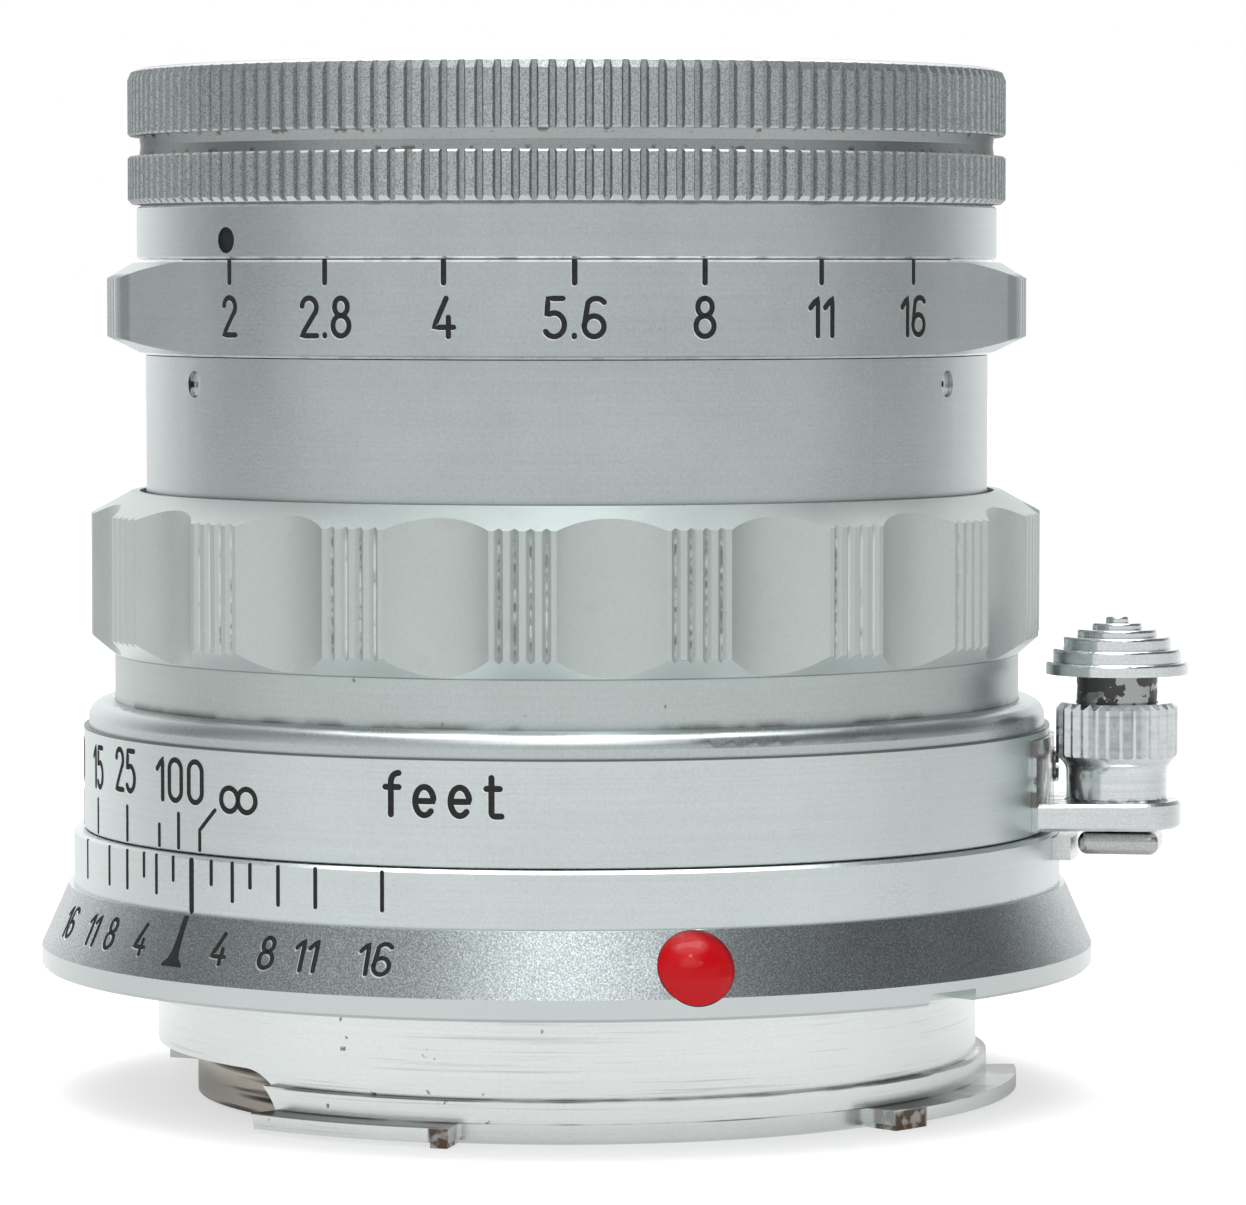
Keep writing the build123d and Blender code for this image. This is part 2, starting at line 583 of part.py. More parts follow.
with BuildPart() as distance_ring:
    turned([
        (LIP_BORE, DISTANCE_BOTTOM), (DISTANCE_RADIUS - DISTANCE_BEVEL, DISTANCE_BOTTOM),
        (DISTANCE_RADIUS, DISTANCE_BOTTOM + DISTANCE_BEVEL), (DISTANCE_RADIUS, DISTANCE_TOP),
        (BAND_RADIUS + SEAT, DISTANCE_TOP), (BAND_RADIUS + SEAT, SLEEVE_BOTTOM),
        (POCKET_BORE, SLEEVE_BOTTOM), (POCKET_BORE, LIP_TOP), (LIP_BORE, LIP_TOP),
    ])
    sector(STOP_PIN_CIRCLE + STOP_GROOVE_HALF, STOP_PIN_CIRCLE - STOP_GROOVE_HALF,
           stop_pin_azimuth - FOCUS_TRAVEL / 2, FOCUS_TRAVEL + 2 * STOP_GROOVE_END,
           DISTANCE_BOTTOM, SCALE_TOP + STOP_PIN_RISE + STOP_GROOVE_CLEARANCE, Mode.SUBTRACT)
    sector(DISTANCE_RADIUS + PAST, TAB_ROOT, LOCK_AZIMUTH, TAB_ANGLE + 2 * SIDE_SEAT, BRACKET_BOTTOM,
           TAB_TOP + SEAT, Mode.SUBTRACT)
    drill(bracket_screw_plane, BRACKET_SCREW_RADIUS + SEAT, BRACKET_SCREW_LENGTH + TAP_RUNOUT)
save(distance_ring, "distance_ring")

with BuildPart() as clamp_ring:
    tube(CLAMP_RADIUS, BAND_RADIUS + SEAT, DISTANCE_TOP, CLAMP_TOP)
    top_rim = clamp_ring.edges().filter_by(GeomType.CIRCLE).group_by(Axis.Z)[-1].sort_by(SortBy.RADIUS)[-1]
    fillet(top_rim, CLAMP_FILLET)
save(clamp_ring, "clamp_ring")

# Helicoid: the sleeve's thread turns about the head's thread, and one drives the other
HELICOID_LEAD = HEAD_TRAVEL * 360 / FOCUS_TRAVEL
THREAD_MINOR = BARREL_RADIUS + THREAD_OVER_BARREL
THREAD_MAJOR = THREAD_MINOR + THREAD_DEPTH
SLEEVE_NECK = GRIP_RADIUS - GRIP_WALL
GRIP_INNER_TOP = GRIP_TOP - GRIP_COVER
SLEEVE_TOP = GRIP_INNER_TOP - SEAT
HEAD_THREAD_BOTTOM = GUIDE_TOP + HEAD_THREAD_RISE
HEAD_THREAD_TOP = HEAD_THREAD_BOTTOM + HEAD_THREAD_LENGTH


def helicoid(crest, root, slack, bottom, height, outside=None):
    """A twisted bar with one tooth for each start, or with outside, a liner that has it as its bore.

    The slack narrows each flank by that many degrees.
    """
    step = 360 / THREAD_STARTS
    tooth_angle = step / 2 - 2 * slack
    phase = slack - 360 * bottom / HELICOID_LEAD
    flanks = []
    with BuildSketch(Plane.XY.offset(bottom), mode=Mode.PRIVATE) as section:
        if outside:
            Circle(outside)
        with BuildLine():
            for tooth in range(THREAD_STARTS):
                start = phase + tooth * step
                crest_arc = CenterArc((0, 0), crest, start, tooth_angle)
                root_arc = CenterArc((0, 0), root, start + tooth_angle, step - tooth_angle)
                Line(crest_arc @ 1, root_arc @ 0)
                flanks.append((crest_arc @ 0, root_arc @ 1))
            for tooth in range(THREAD_STARTS):
                Line(flanks[tooth - 1][1], flanks[tooth][0])
        make_face(mode=Mode.SUBTRACT if outside else Mode.ADD)
    section_face = section.sketch.faces()[0]
    twist = -360 * height / HELICOID_LEAD
    return Solid.extrude_linear_with_rotation(section_face, (0, 0, bottom), (0, 0, height), twist)


with BuildPart() as focus_sleeve:
    sleeve_bore = THREAD_MAJOR + LINER_OVERLAP
    turned([
        (sleeve_bore, SLEEVE_BOTTOM), (BAND_RADIUS, SLEEVE_BOTTOM), (BAND_RADIUS, BAND_TOP),
        (SLEEVE_NECK, BAND_TOP), (SLEEVE_NECK, SLEEVE_TOP), (sleeve_bore, SLEEVE_TOP),
    ])
    add(helicoid(THREAD_MAJOR, THREAD_MINOR, 0, SLEEVE_BOTTOM, SLEEVE_TOP - SLEEVE_BOTTOM,
                 sleeve_bore + LINER_OVERLAP))
save(focus_sleeve, "focus_sleeve")

GRIP_STRAIGHT_BOTTOM = BAND_TOP + GRIP_BASE_BEVEL
GRIP_STRAIGHT_TOP = GRIP_TOP - GRIP_CHAMFER
GRIP_MOUTH = BARREL_RADIUS + GRIP_MOUTH_GAP

with BuildPart() as grip_ring:
    turned([
        (SLEEVE_NECK + SEAT, BAND_TOP), (BAND_RADIUS, BAND_TOP), (GRIP_RADIUS, GRIP_STRAIGHT_BOTTOM),
        (GRIP_RADIUS, GRIP_STRAIGHT_TOP), (GRIP_RADIUS - GRIP_FACE, GRIP_TOP),
        (GRIP_MOUTH, GRIP_TOP), (GRIP_MOUTH, GRIP_INNER_TOP), (SLEEVE_NECK + SEAT, GRIP_INNER_TOP),
    ])
    with BuildSketch(Plane.XY.offset(BAND_TOP)):
        with PolarLocations(GRIP_RADIUS - SCALLOP_DEPTH + SCALLOP_RADIUS, GRIP_BAYS,
                            start_angle=GRIP_PHASE + 180 / GRIP_BAYS - 90):
            Circle(SCALLOP_RADIUS)
        for groove in range(GRIP_GROOVES):
            groove_offset = (groove - (GRIP_GROOVES - 1) / 2) * GRIP_GROOVE_PITCH
            with PolarLocations(GRIP_RADIUS, GRIP_BAYS, start_angle=GRIP_PHASE + groove_offset - 90):
                Rectangle(GRIP_GROOVE_WIDTH, GRIP_GROOVE_WIDTH, rotation=45)
    extrude(amount=GRIP_HEIGHT, mode=Mode.SUBTRACT)
save(grip_ring, "grip_ring")

lock_axis = Plane(origin=spot(LOCK_AZIMUTH, LOCK_REACH, 0))
POST_TOP = BRACKET_TOP + POST_HEIGHT
COLLAR_BOTTOM = POST_TOP - COLLAR_HEIGHT
ROD_BORE = ROD_RADIUS + RUNNING

with BuildPart() as lock_bracket:
    with BuildSketch(Plane.XY.offset(BRACKET_BOTTOM)):
        with Locations(spot(LOCK_AZIMUTH, LOCK_REACH)[:2]):
            Circle(BRACKET_NOSE_RADIUS)
        with BuildLine():
            root_left = spot(LOCK_AZIMUTH - TAB_ANGLE / 2, TAB_ROOT)[:2]
            root_right = spot(LOCK_AZIMUTH + TAB_ANGLE / 2, TAB_ROOT)[:2]
            nose_side = degrees(BRACKET_NOSE_RADIUS / LOCK_REACH)
            nose_left = spot(LOCK_AZIMUTH - nose_side, LOCK_REACH)[:2]
            nose_right = spot(LOCK_AZIMUTH + nose_side, LOCK_REACH)[:2]
            Polyline(root_left, nose_left, nose_right, root_right, close=True)
        make_face()
    extrude(amount=BRACKET_THICKNESS)
    plate_edges = lock_bracket.edges().group_by(Axis.Z)
    chamfer(plate_edges[0] + plate_edges[-1], BRACKET_EDGE)
    tube(TAB_ROOT, TAB_ROOT - PAST, BRACKET_BOTTOM, BRACKET_TOP, Mode.SUBTRACT)
    sector(TAB_FACE, TAB_ROOT + SEAT, LOCK_AZIMUTH, TAB_ANGLE, BRACKET_BOTTOM, TAB_TOP)
    drill(lock_axis.offset(BRACKET_TOP), ROD_BORE, BRACKET_THICKNESS)
    drill(bracket_screw_plane, BRACKET_SCREW_RADIUS + SEAT, BRACKET_SCREW_LENGTH + TAP_RUNOUT)
save(lock_bracket, "lock_bracket")

with BuildPart() as bracket_screw:
    screw_top = bracket_screw_plane.offset(BRACKET_SCREW_DOME)
    drill(bracket_screw_plane, BRACKET_SCREW_RADIUS, BRACKET_SCREW_LENGTH, Mode.ADD)
    drill(screw_top, BRACKET_SCREW_HEAD, BRACKET_SCREW_DOME, Mode.ADD)
    rims = bracket_screw.edges().filter_by(GeomType.CIRCLE).sort_by(SortBy.RADIUS)[-2:]
    fillet(rims.sort_by_distance(screw_top.origin)[0], 0.6 * BRACKET_SCREW_DOME)
    block(screw_top, 2 * BRACKET_SCREW_HEAD, BRACKET_SCREW_DOME, 0.6 * BRACKET_SCREW_DOME, Mode.SUBTRACT)
save(bracket_screw, "bracket_screw")

STEM_BORE = STEM_RADIUS + RUNNING
SPRING_FLOOR = BRACKET_TOP + SPRING_FLOOR_HEIGHT
STEM_BOTTOM = POST_TOP - STEM_HELD

with BuildPart() as lock_post:
    with BuildSketch(Plane.XZ):
        with BuildLine():
            foot = Line((ROD_BORE, 0), (POST_RADIUS + POST_FOOT, 0))
            toe = Line(foot @ 1, (POST_RADIUS, POST_FOOT))
            waist = Line(toe @ 1, (POST_RADIUS, POST_WAIST_HEIGHT))
            flare_end = (COLLAR_RADIUS, POST_HEIGHT - COLLAR_HEIGHT)
            flare = Spline(waist @ 1, flare_end, tangents=((0, 1), (0.25, 1)))
            side = Line(flare @ 1, (COLLAR_RADIUS, POST_HEIGHT - COLLAR_CHAMFER))
            crown = Line(side @ 1, (COLLAR_RADIUS - COLLAR_CHAMFER, POST_HEIGHT))
            Polyline(crown @ 1, (STEM_BORE, POST_HEIGHT), (STEM_BORE, SPRING_FLOOR_HEIGHT),
                     (ROD_BORE, SPRING_FLOOR_HEIGHT), foot @ 0)
        make_face()
    revolve(axis=Axis.Z)
    with BuildSketch(Plane.XY.offset(POST_HEIGHT)):
        with PolarLocations(COLLAR_RADIUS + RUNNING, COLLAR_TEETH):
            Rectangle(COLLAR_TOOTH_CUT, COLLAR_TOOTH_CUT, rotation=45)
    extrude(amount=-COLLAR_HEIGHT - POST_FOOT, mode=Mode.SUBTRACT)
lock_post.part = lock_post.part.moved(Location(lock_axis.offset(BRACKET_TOP)))
save(lock_post, "lock_post")

SPRING_COIL = STEM_RADIUS - SPRING_INSET

with BuildPart() as lock_spring:
    spring_base = SPRING_FLOOR + SPRING_WIRE + SEAT
    spring_height = STEM_BOTTOM - SEAT - SPRING_WIRE - spring_base
    with BuildLine(lock_axis.offset(spring_base)) as coil:
        Helix(pitch=spring_height / SPRING_TURNS, height=spring_height, radius=SPRING_COIL)
    with BuildSketch(Plane(origin=coil.line @ 0, z_dir=coil.line % 0)):
        Circle(SPRING_WIRE)
    sweep(is_frenet=True)
save(lock_spring, "lock_spring")

BUTTON_BOTTOM = POST_TOP + LOCK_TRAVEL + STEM_CLEARANCE
ROD_TOP = BUTTON_BOTTOM - ROD_SOCKET

with BuildPart() as lock_button:
    drill(lock_axis.offset(BUTTON_BOTTOM), STEM_RADIUS, BUTTON_BOTTOM - STEM_BOTTOM, Mode.ADD)
    tier_bottom = BUTTON_BOTTOM
    for tier_radius, tier_height in BUTTON_TIERS:
        with BuildSketch(lock_axis.offset(tier_bottom)):
            Circle(tier_radius)
        extrude(amount=tier_height)
        tier_bottom += tier_height
        fillet(lock_button.edges().filter_by(GeomType.CIRCLE).group_by(Axis.Z)[-1], TIER_EDGE)
    drill(lock_axis.offset(ROD_TOP + SEAT), ROD_RADIUS + SEAT, ROD_TOP + SEAT - STEM_BOTTOM)
save(lock_button, "lock_button")

TONGUE_TOP = BRACKET_BOTTOM - TONGUE_DROP
TONGUE_BOTTOM = TONGUE_TOP - TONGUE_THICKNESS

with BuildPart() as lock_tongue:
    with BuildSketch(facing_out(LOCK_AZIMUTH, TONGUE_OUTER, (TONGUE_TOP + TONGUE_BOTTOM) / 2)):
        Rectangle(TONGUE_WIDTH, TONGUE_THICKNESS)
    extrude(amount=TONGUE_INNER - TONGUE_OUTER)
    fillet(lock_tongue.edges(), TONGUE_FILLET)
    tube(TONGUE_INNER, TONGUE_INNER - PAST, TONGUE_BOTTOM, TONGUE_TOP, Mode.SUBTRACT)
    drill(lock_axis.offset(TONGUE_TOP), ROD_RADIUS + SEAT, TONGUE_THICKNESS)
save(lock_tongue, "lock_tongue")

with BuildPart() as lock_rod:
    drill(lock_axis.offset(ROD_TOP), ROD_RADIUS, ROD_TOP - TONGUE_BOTTOM, Mode.ADD)
save(lock_rod, "lock_rod")

# ---------------------------------------------------------------------------------------------
# Head: slides straight along the axis, kept from turning by the guide keys
# ---------------------------------------------------------------------------------------------

HEAD_BOTTOM = FLANGE_THICKNESS + HEAD_GAP
HEAD_RADIUS = GUIDE_BORE - RUNNING
HEAD_BORE = HEAD_RADIUS - HEAD_WALL
NECK_RADIUS = BARREL_RADIUS - BARREL_WALL
NECK_TOP = HEAD_THREAD_TOP + HEAD_NECK_HEIGHT
SHOULDER_TOP = NECK_TOP + SHOULDER_HEIGHT
HOUSING_TOP = INDEX_TOP
THREAD_SLACK = degrees(THREAD_CLEARANCE / THREAD_MINOR)

with BuildPart() as head_helicoid:
    thread_root = THREAD_MINOR - THREAD_CLEARANCE
    turned([
        (HEAD_BORE, HEAD_BOTTOM), (HEAD_RADIUS, HEAD_BOTTOM), (HEAD_RADIUS, HEAD_THREAD_BOTTOM),
        (thread_root, HEAD_THREAD_BOTTOM), (thread_root, HEAD_THREAD_TOP), (NECK_RADIUS, HEAD_THREAD_TOP),
        (NECK_RADIUS, NECK_TOP), (HEAD_BORE, NECK_TOP),
    ])
    add(helicoid(THREAD_MAJOR - THREAD_CLEARANCE, thread_root - LINER_OVERLAP, THREAD_SLACK,
                 HEAD_THREAD_BOTTOM, HEAD_THREAD_LENGTH))
    tube(HEAD_BORE, 0, HEAD_BOTTOM, NECK_TOP, Mode.SUBTRACT)
    keyway_angle = degrees((KEY_WIDTH + 2 * RUNNING) / GUIDE_BORE)
    for key_azimuth in KEY_AZIMUTHS:
        sector(HEAD_RADIUS + PAST, GUIDE_BORE - KEY_DEPTH - RUNNING, key_azimuth, keyway_angle, HEAD_BOTTOM,
               HEAD_THREAD_BOTTOM, Mode.SUBTRACT)
save(head_helicoid, "head_helicoid")

CAM_FLANGE_BOTTOM = HEAD_BOTTOM + CAM_FLANGE_RISE
CAM_FLANGE_TOP = HEAD_BOTTOM + CAM_FLANGE_HEIGHT
CAM_TUBE_BOTTOM = REAR + CAM_TUBE_SHORT

with BuildPart() as rangefinder_cam:
    turned([
        (CAM_TUBE_BORE, CAM_TUBE_BOTTOM), (CAM_TUBE_RADIUS, CAM_TUBE_BOTTOM),
        (CAM_TUBE_RADIUS, CAM_FLANGE_BOTTOM), (HEAD_BORE - SEAT, CAM_FLANGE_BOTTOM),
        (HEAD_BORE - SEAT, CAM_FLANGE_TOP),
        (CAM_TUBE_BORE, CAM_FLANGE_TOP),
    ])
save(rangefinder_cam, "rangefinder_cam")

set_screw_azimuths = evenly(SET_SCREW_COUNT, SET_SCREW_AZIMUTH)
SET_SCREW_HEIGHT = BARREL_TOP - SET_SCREW_DROP
SHOULDER_BORE = HOUSING_BORE + SHOULDER_LAP

with BuildPart() as barrel:
    turned([
        (NECK_RADIUS + SEAT, HEAD_THREAD_TOP), (BARREL_RADIUS, HEAD_THREAD_TOP), (BARREL_RADIUS, BARREL_TOP),
        (NECK_RADIUS + SEAT, BARREL_TOP), (NECK_RADIUS + SEAT, SHOULDER_TOP), (SHOULDER_BORE, SHOULDER_TOP),
        (SHOULDER_BORE, NECK_TOP), (NECK_RADIUS + SEAT, NECK_TOP),
    ])
    for screw_azimuth in set_screw_azimuths:
        drill(facing_out(screw_azimuth, BARREL_RADIUS + PAST, SET_SCREW_HEIGHT), SET_SCREW_RADIUS + SEAT,
              BARREL_WALL + 2 * PAST)
save(barrel, "barrel")

with BuildPart() as set_screws:
    for screw_azimuth in set_screw_azimuths:
        screw_face = facing_out(screw_azimuth, BARREL_RADIUS - SET_SCREW_SINK, SET_SCREW_HEIGHT)
        drill(screw_face, SET_SCREW_RADIUS, SET_SCREW_LENGTH, Mode.ADD)
        slot_plane = screw_face.rotated((0, 0, SET_SCREW_TURN))
        block(slot_plane, 3 * SET_SCREW_RADIUS, SET_SCREW_SLOT, SET_SCREW_SLOT_DEPTH, Mode.SUBTRACT)
save(set_screws, "set_screws")

IRIS_FLOOR = NECK_TOP - HOUSING_GAP
HOUSING_BASE = IRIS_FLOOR - HOUSING_BASE_THICKNESS
BOSS_BOTTOM = HOUSING_BASE - BOSS_LENGTH
BOSS_RADIUS = REAR_CELL_RADIUS + BOSS_WALL
CAM_TOP = IRIS_FLOOR + CAM_RING_HEIGHT
PIN_HEIGHT = APERTURE_BOTTOM + APERTURE_PIN_RISE
SLOT_HALF = APERTURE_PIN_RADIUS + APERTURE_SLOT_CLEARANCE
APERTURE_TURN = STOP_ANGLE * STOP_COUNT
aperture_pin_azimuth = INDEX_AZIMUTH + 90
slot_end = degrees(SLOT_HALF / HOUSING_BORE)
blade_azimuths = evenly(BLADE_COUNT, INDEX_AZIMUTH)

with BuildPart() as iris_housing:
    turned([
        (REAR_CELL_RADIUS + SEAT, BOSS_BOTTOM), (BOSS_RADIUS, BOSS_BOTTOM), (BOSS_RADIUS, HOUSING_BASE),
        (SHOULDER_BORE - HOUSING_GAP, HOUSING_BASE), (SHOULDER_BORE - HOUSING_GAP, SHOULDER_TOP),
        (NECK_RADIUS, SHOULDER_TOP), (NECK_RADIUS, BARREL_TOP), (HOUSING_BEARING_RADIUS, BARREL_TOP),
        (HOUSING_BEARING_RADIUS, HOUSING_TOP), (FRONT_CELL_RADIUS + SEAT, HOUSING_TOP),
        (FRONT_CELL_RADIUS + SEAT, CAM_TOP + HOUSING_TOP_WALL), (HOUSING_BORE, CAM_TOP + HOUSING_TOP_WALL),
        (HOUSING_BORE, IRIS_FLOOR), (REAR_CELL_RADIUS + SEAT, IRIS_FLOOR),
    ])
    for screw_azimuth in set_screw_azimuths:
        drill(facing_out(screw_azimuth, BARREL_RADIUS, SET_SCREW_HEIGHT), SET_SCREW_RADIUS + SEAT,
              SET_SCREW_BORE_DEPTH)
    with BuildSketch(Plane.XY.offset(IRIS_FLOOR)):
        with PolarLocations(BLADE_PIVOT_CIRCLE, BLADE_COUNT, start_angle=INDEX_AZIMUTH - 90):
            Circle(BLADE_PIN_RADIUS + RUNNING)
    extrude(amount=-BLADE_PIN_SEAT, mode=Mode.SUBTRACT)
    sector(HOUSING_BEARING_RADIUS + PAST, HOUSING_BORE - PAST, aperture_pin_azimuth - APERTURE_TURN / 2,
           APERTURE_TURN + 2 * slot_end, PIN_HEIGHT - SLOT_HALF, PIN_HEIGHT + SLOT_HALF, Mode.SUBTRACT)
save(iris_housing, "iris_housing")

CLICK_AZIMUTH = INDEX_AZIMUTH + 180
CLICK_CIRCLE = (HOUSING_BEARING_RADIUS + INDEX_RADIUS) / 2
DOT_HEIGHT = INDEX_TOP - DOT_DROP
click_axis = Plane(origin=spot(CLICK_AZIMUTH, CLICK_CIRCLE))

with BuildPart() as index_ring:
    turned([
        (HOUSING_BEARING_RADIUS + SEAT, INDEX_BOTTOM), (INDEX_RADIUS - RING_EDGE, INDEX_BOTTOM),
        (INDEX_RADIUS, INDEX_BOTTOM + RING_EDGE), (INDEX_RADIUS, INDEX_TOP - RING_EDGE),
        (INDEX_RADIUS - RING_EDGE, INDEX_TOP),
        (HOUSING_BEARING_RADIUS + SEAT, INDEX_TOP),
    ])
    drill(facing_out(INDEX_AZIMUTH, INDEX_RADIUS, DOT_HEIGHT), DOT_RADIUS, DOT_DEPTH)
    drill(click_axis.offset(INDEX_TOP - CLICK_CAP), CLICK_BORE, INDEX_HEIGHT)
save(index_ring, "index_ring")

with BuildPart() as click_ball:
    with Locations(spot(CLICK_AZIMUTH, CLICK_CIRCLE, APERTURE_TOP + CLICK_BALL_GAP + CLICK_BALL_RADIUS)):
        Sphere(CLICK_BALL_RADIUS)
save(click_ball, "click_ball")

with BuildPart() as click_spring:
    click_spring_base = APERTURE_TOP + CLICK_BALL_GAP + 2 * CLICK_BALL_RADIUS + CLICK_WIRE + SEAT
    click_spring_height = INDEX_TOP - CLICK_CAP - CLICK_WIRE - SEAT - click_spring_base
    with BuildLine(click_axis.offset(click_spring_base)) as coil:
        Helix(pitch=click_spring_height / CLICK_COIL_TURNS, height=click_spring_height, radius=CLICK_COIL)
    with BuildSketch(Plane(origin=coil.line @ 0, z_dir=coil.line % 0)):
        Circle(CLICK_WIRE)
    sweep(is_frenet=True)
save(click_spring, "click_spring")

# Filter ring: straight knurling cut along both bands, parted by a turned groove
NAME_SEAT = INDEX_TOP + NAME_RING_RISE
RECESS_RADIUS = FILTER_RADIUS - RECESS_STEP
FRONT_CELL_FLANGE = HOUSING_BEARING_RADIUS - FRONT_CELL_STEP
MOUTH_TOP = FRONT - FILTER_MOUTH
THREAD_FLOOR = MOUTH_TOP - FILTER_THREAD_LENGTH
UNDERCUT_RADIUS = INDEX_RADIUS - 2 * RING_EDGE
UNDERCUT_TOP = INDEX_TOP + RING_EDGE


def knurled_outline():
    """Corners of a straight-knurled circle: a flat crest and a flat root for each tooth."""
    pitch = 360 / KNURL_COUNT
    root_radius = KNURL_RADIUS - KNURL_DEPTH
    corners = []
    for tooth in range(KNURL_COUNT):
        corners.append(spot(tooth * pitch, KNURL_RADIUS)[:2])
        corners.append(spot((tooth + KNURL_CREST) * pitch, KNURL_RADIUS)[:2])
        corners.append(spot((tooth + KNURL_CREST + KNURL_FLANK) * pitch, root_radius)[:2])
        corners.append(spot((tooth + 1 - KNURL_FLANK) * pitch, root_radius)[:2])
    return corners


with BuildPart() as front_ring:
    with BuildSketch(Plane.XY.offset(INDEX_TOP)):
        with BuildLine():
            Polyline(*knurled_outline(), close=True)
        make_face()
    extrude(amount=FRONT - INDEX_TOP)
    turned([
        (FRONT_CELL_FLANGE + SEAT, INDEX_TOP), (UNDERCUT_RADIUS, INDEX_TOP), (UNDERCUT_RADIUS, UNDERCUT_TOP),
        (KNURL_RADIUS - KNURL_EDGE, UNDERCUT_TOP), (KNURL_RADIUS, UNDERCUT_TOP + KNURL_EDGE),
        (KNURL_RADIUS, GROOVE_BOTTOM - RING_EDGE), (KNURL_RADIUS - RING_EDGE, GROOVE_BOTTOM),
        (GROOVE_RADIUS, GROOVE_BOTTOM), (GROOVE_RADIUS - GROOVE_DISH, (GROOVE_BOTTOM + GROOVE_TOP) / 2),
        (GROOVE_RADIUS, GROOVE_TOP), (KNURL_RADIUS - RING_EDGE, GROOVE_TOP),
        (KNURL_RADIUS, GROOVE_TOP + RING_EDGE), (KNURL_RADIUS, FRONT - MOUTH_FACE),
        (KNURL_RADIUS - EDGE_BREAK, FRONT - EDGE_BREAK), (KNURL_RADIUS - MOUTH_FACE, FRONT),
        (FILTER_RADIUS + FILTER_MOUTH, FRONT), (FILTER_RADIUS, MOUTH_TOP), (FILTER_RADIUS, THREAD_FLOOR),
        (RECESS_RADIUS, THREAD_FLOOR), (RECESS_RADIUS, NAME_SEAT), (FRONT_CELL_FLANGE + SEAT, NAME_SEAT),
    ], Mode.INTERSECT)
save(front_ring, "front_ring")

# ---------------------------------------------------------------------------------------------
# Optics: seven elements in six groups, three ahead of the iris and four behind it
# ---------------------------------------------------------------------------------------------

def sag(curve, radius):
    """How far a surface falls towards the rear between its vertex and a radius; concave ones rise."""
    depth = abs(curve) - sqrt(curve ** 2 - radius ** 2)
    return depth if curve > 0 else -depth


def surface(vertex, curve, radius):
    """An arc of a lens surface from the axis to a radius; a positive curve bulges to the front."""
    middle = (radius / 2, vertex - sag(curve, radius / 2))
    return ThreePointArc((0, vertex), middle, (radius, vertex - sag(curve, radius)))


def element(edge_radius, front, rear, front_opening=None, rear_opening=None):
    """A lens element from its front and rear (vertex, curve).

    An opening leaves a flat rim round a hollow surface.
    """
    with BuildSketch(Plane.XZ) as outline:
        with BuildLine():
            front_arc = surface(front[0], front[1], front_opening or edge_radius)
            rear_arc = surface(rear[0], rear[1], rear_opening or edge_radius)
            front_corner = (edge_radius, (front_arc @ 1).Y)
            rear_corner = (edge_radius, (rear_arc @ 1).Y)
            if front_opening:
                Line(front_arc @ 1, front_corner)
            if rear_opening:
                Line(rear_arc @ 1, rear_corner)
            Line(front_corner, rear_corner)
            Line(front_arc @ 0, rear_arc @ 0)
        make_face()
    revolve(outline.sketch, axis=Axis.Z)


# Front group, from the iris to the front
CELL_RISE = 3.00
FRONT_LIP = 0.40
LIP_WIDTH = 0.90
SPACER_WALL = 0.65
THIRD_EDGE, SECOND_EDGE, FIRST_EDGE = 11.60, 12.20, 14.00
THIRD_OPENING = 9.60
THIRD_REAR_CURVE, THIRD_FRONT_CURVE = 14.20, 60.0
SECOND_REAR_CURVE, SECOND_FRONT_CURVE = 45.0, 21.0
FIRST_REAR_CURVE, FIRST_FRONT_CURVE = 250.0, 33.0
THIRD_THICKNESS, SECOND_THICKNESS = 1.50, 4.50
FIRST_SPACE = 0.50
ELEMENT_GAP = 0.01
FIRST_BELOW_THREAD = 0.10

CELL_BOTTOM = IRIS_FLOOR + CELL_RISE
third_rear = CELL_BOTTOM + FRONT_LIP + sag(THIRD_REAR_CURVE, THIRD_OPENING)
third_front = third_rear + THIRD_THICKNESS
second_seat = third_front - sag(THIRD_FRONT_CURVE, THIRD_EDGE)
second_rear = second_seat + ELEMENT_GAP + sag(SECOND_REAR_CURVE, SECOND_EDGE)
second_front = second_rear + SECOND_THICKNESS
first_rear = second_front + FIRST_SPACE
first_seat = first_rear - sag(FIRST_REAR_CURVE, FIRST_EDGE)
first_front = THREAD_FLOOR - FIRST_BELOW_THREAD
first_rim = first_front - sag(FIRST_FRONT_CURVE, NAME_RING_BORE) + SEAT

with BuildPart() as front_cell:
    turned([
        (THIRD_EDGE - LIP_WIDTH, CELL_BOTTOM), (FRONT_CELL_RADIUS, CELL_BOTTOM),
        (FRONT_CELL_RADIUS, HOUSING_TOP), (FRONT_CELL_FLANGE, HOUSING_TOP), (FRONT_CELL_FLANGE, NAME_SEAT),
        (FIRST_EDGE + SEAT, NAME_SEAT),
        (FIRST_EDGE + SEAT, first_seat), (SECOND_EDGE + SEAT, first_seat), (SECOND_EDGE + SEAT, second_seat),
        (THIRD_EDGE + SEAT, second_seat), (THIRD_EDGE + SEAT, CELL_BOTTOM + FRONT_LIP),
        (THIRD_EDGE - LIP_WIDTH, CELL_BOTTOM + FRONT_LIP),
    ])
save(front_cell, "front_cell")

with BuildPart() as name_ring:
    turned([
        (NAME_RING_BORE, first_rim), (FIRST_EDGE, first_rim), (FIRST_EDGE, NAME_SEAT),
        (RECESS_RADIUS - SEAT, NAME_SEAT), (RECESS_RADIUS - SEAT, NAME_SEAT + NAME_RING_THICKNESS),
        (NAME_RING_BORE + NAME_RING_DISH, NAME_SEAT + 0.7 * NAME_RING_THICKNESS),
        (NAME_RING_BORE, NAME_SEAT + NAME_RING_LIP),
    ])
save(name_ring, "name_ring")

with BuildPart() as lens_element_1:
    element(FIRST_EDGE, (first_front, FIRST_FRONT_CURVE), (first_rear, FIRST_REAR_CURVE))
save(lens_element_1, "lens_element_1")

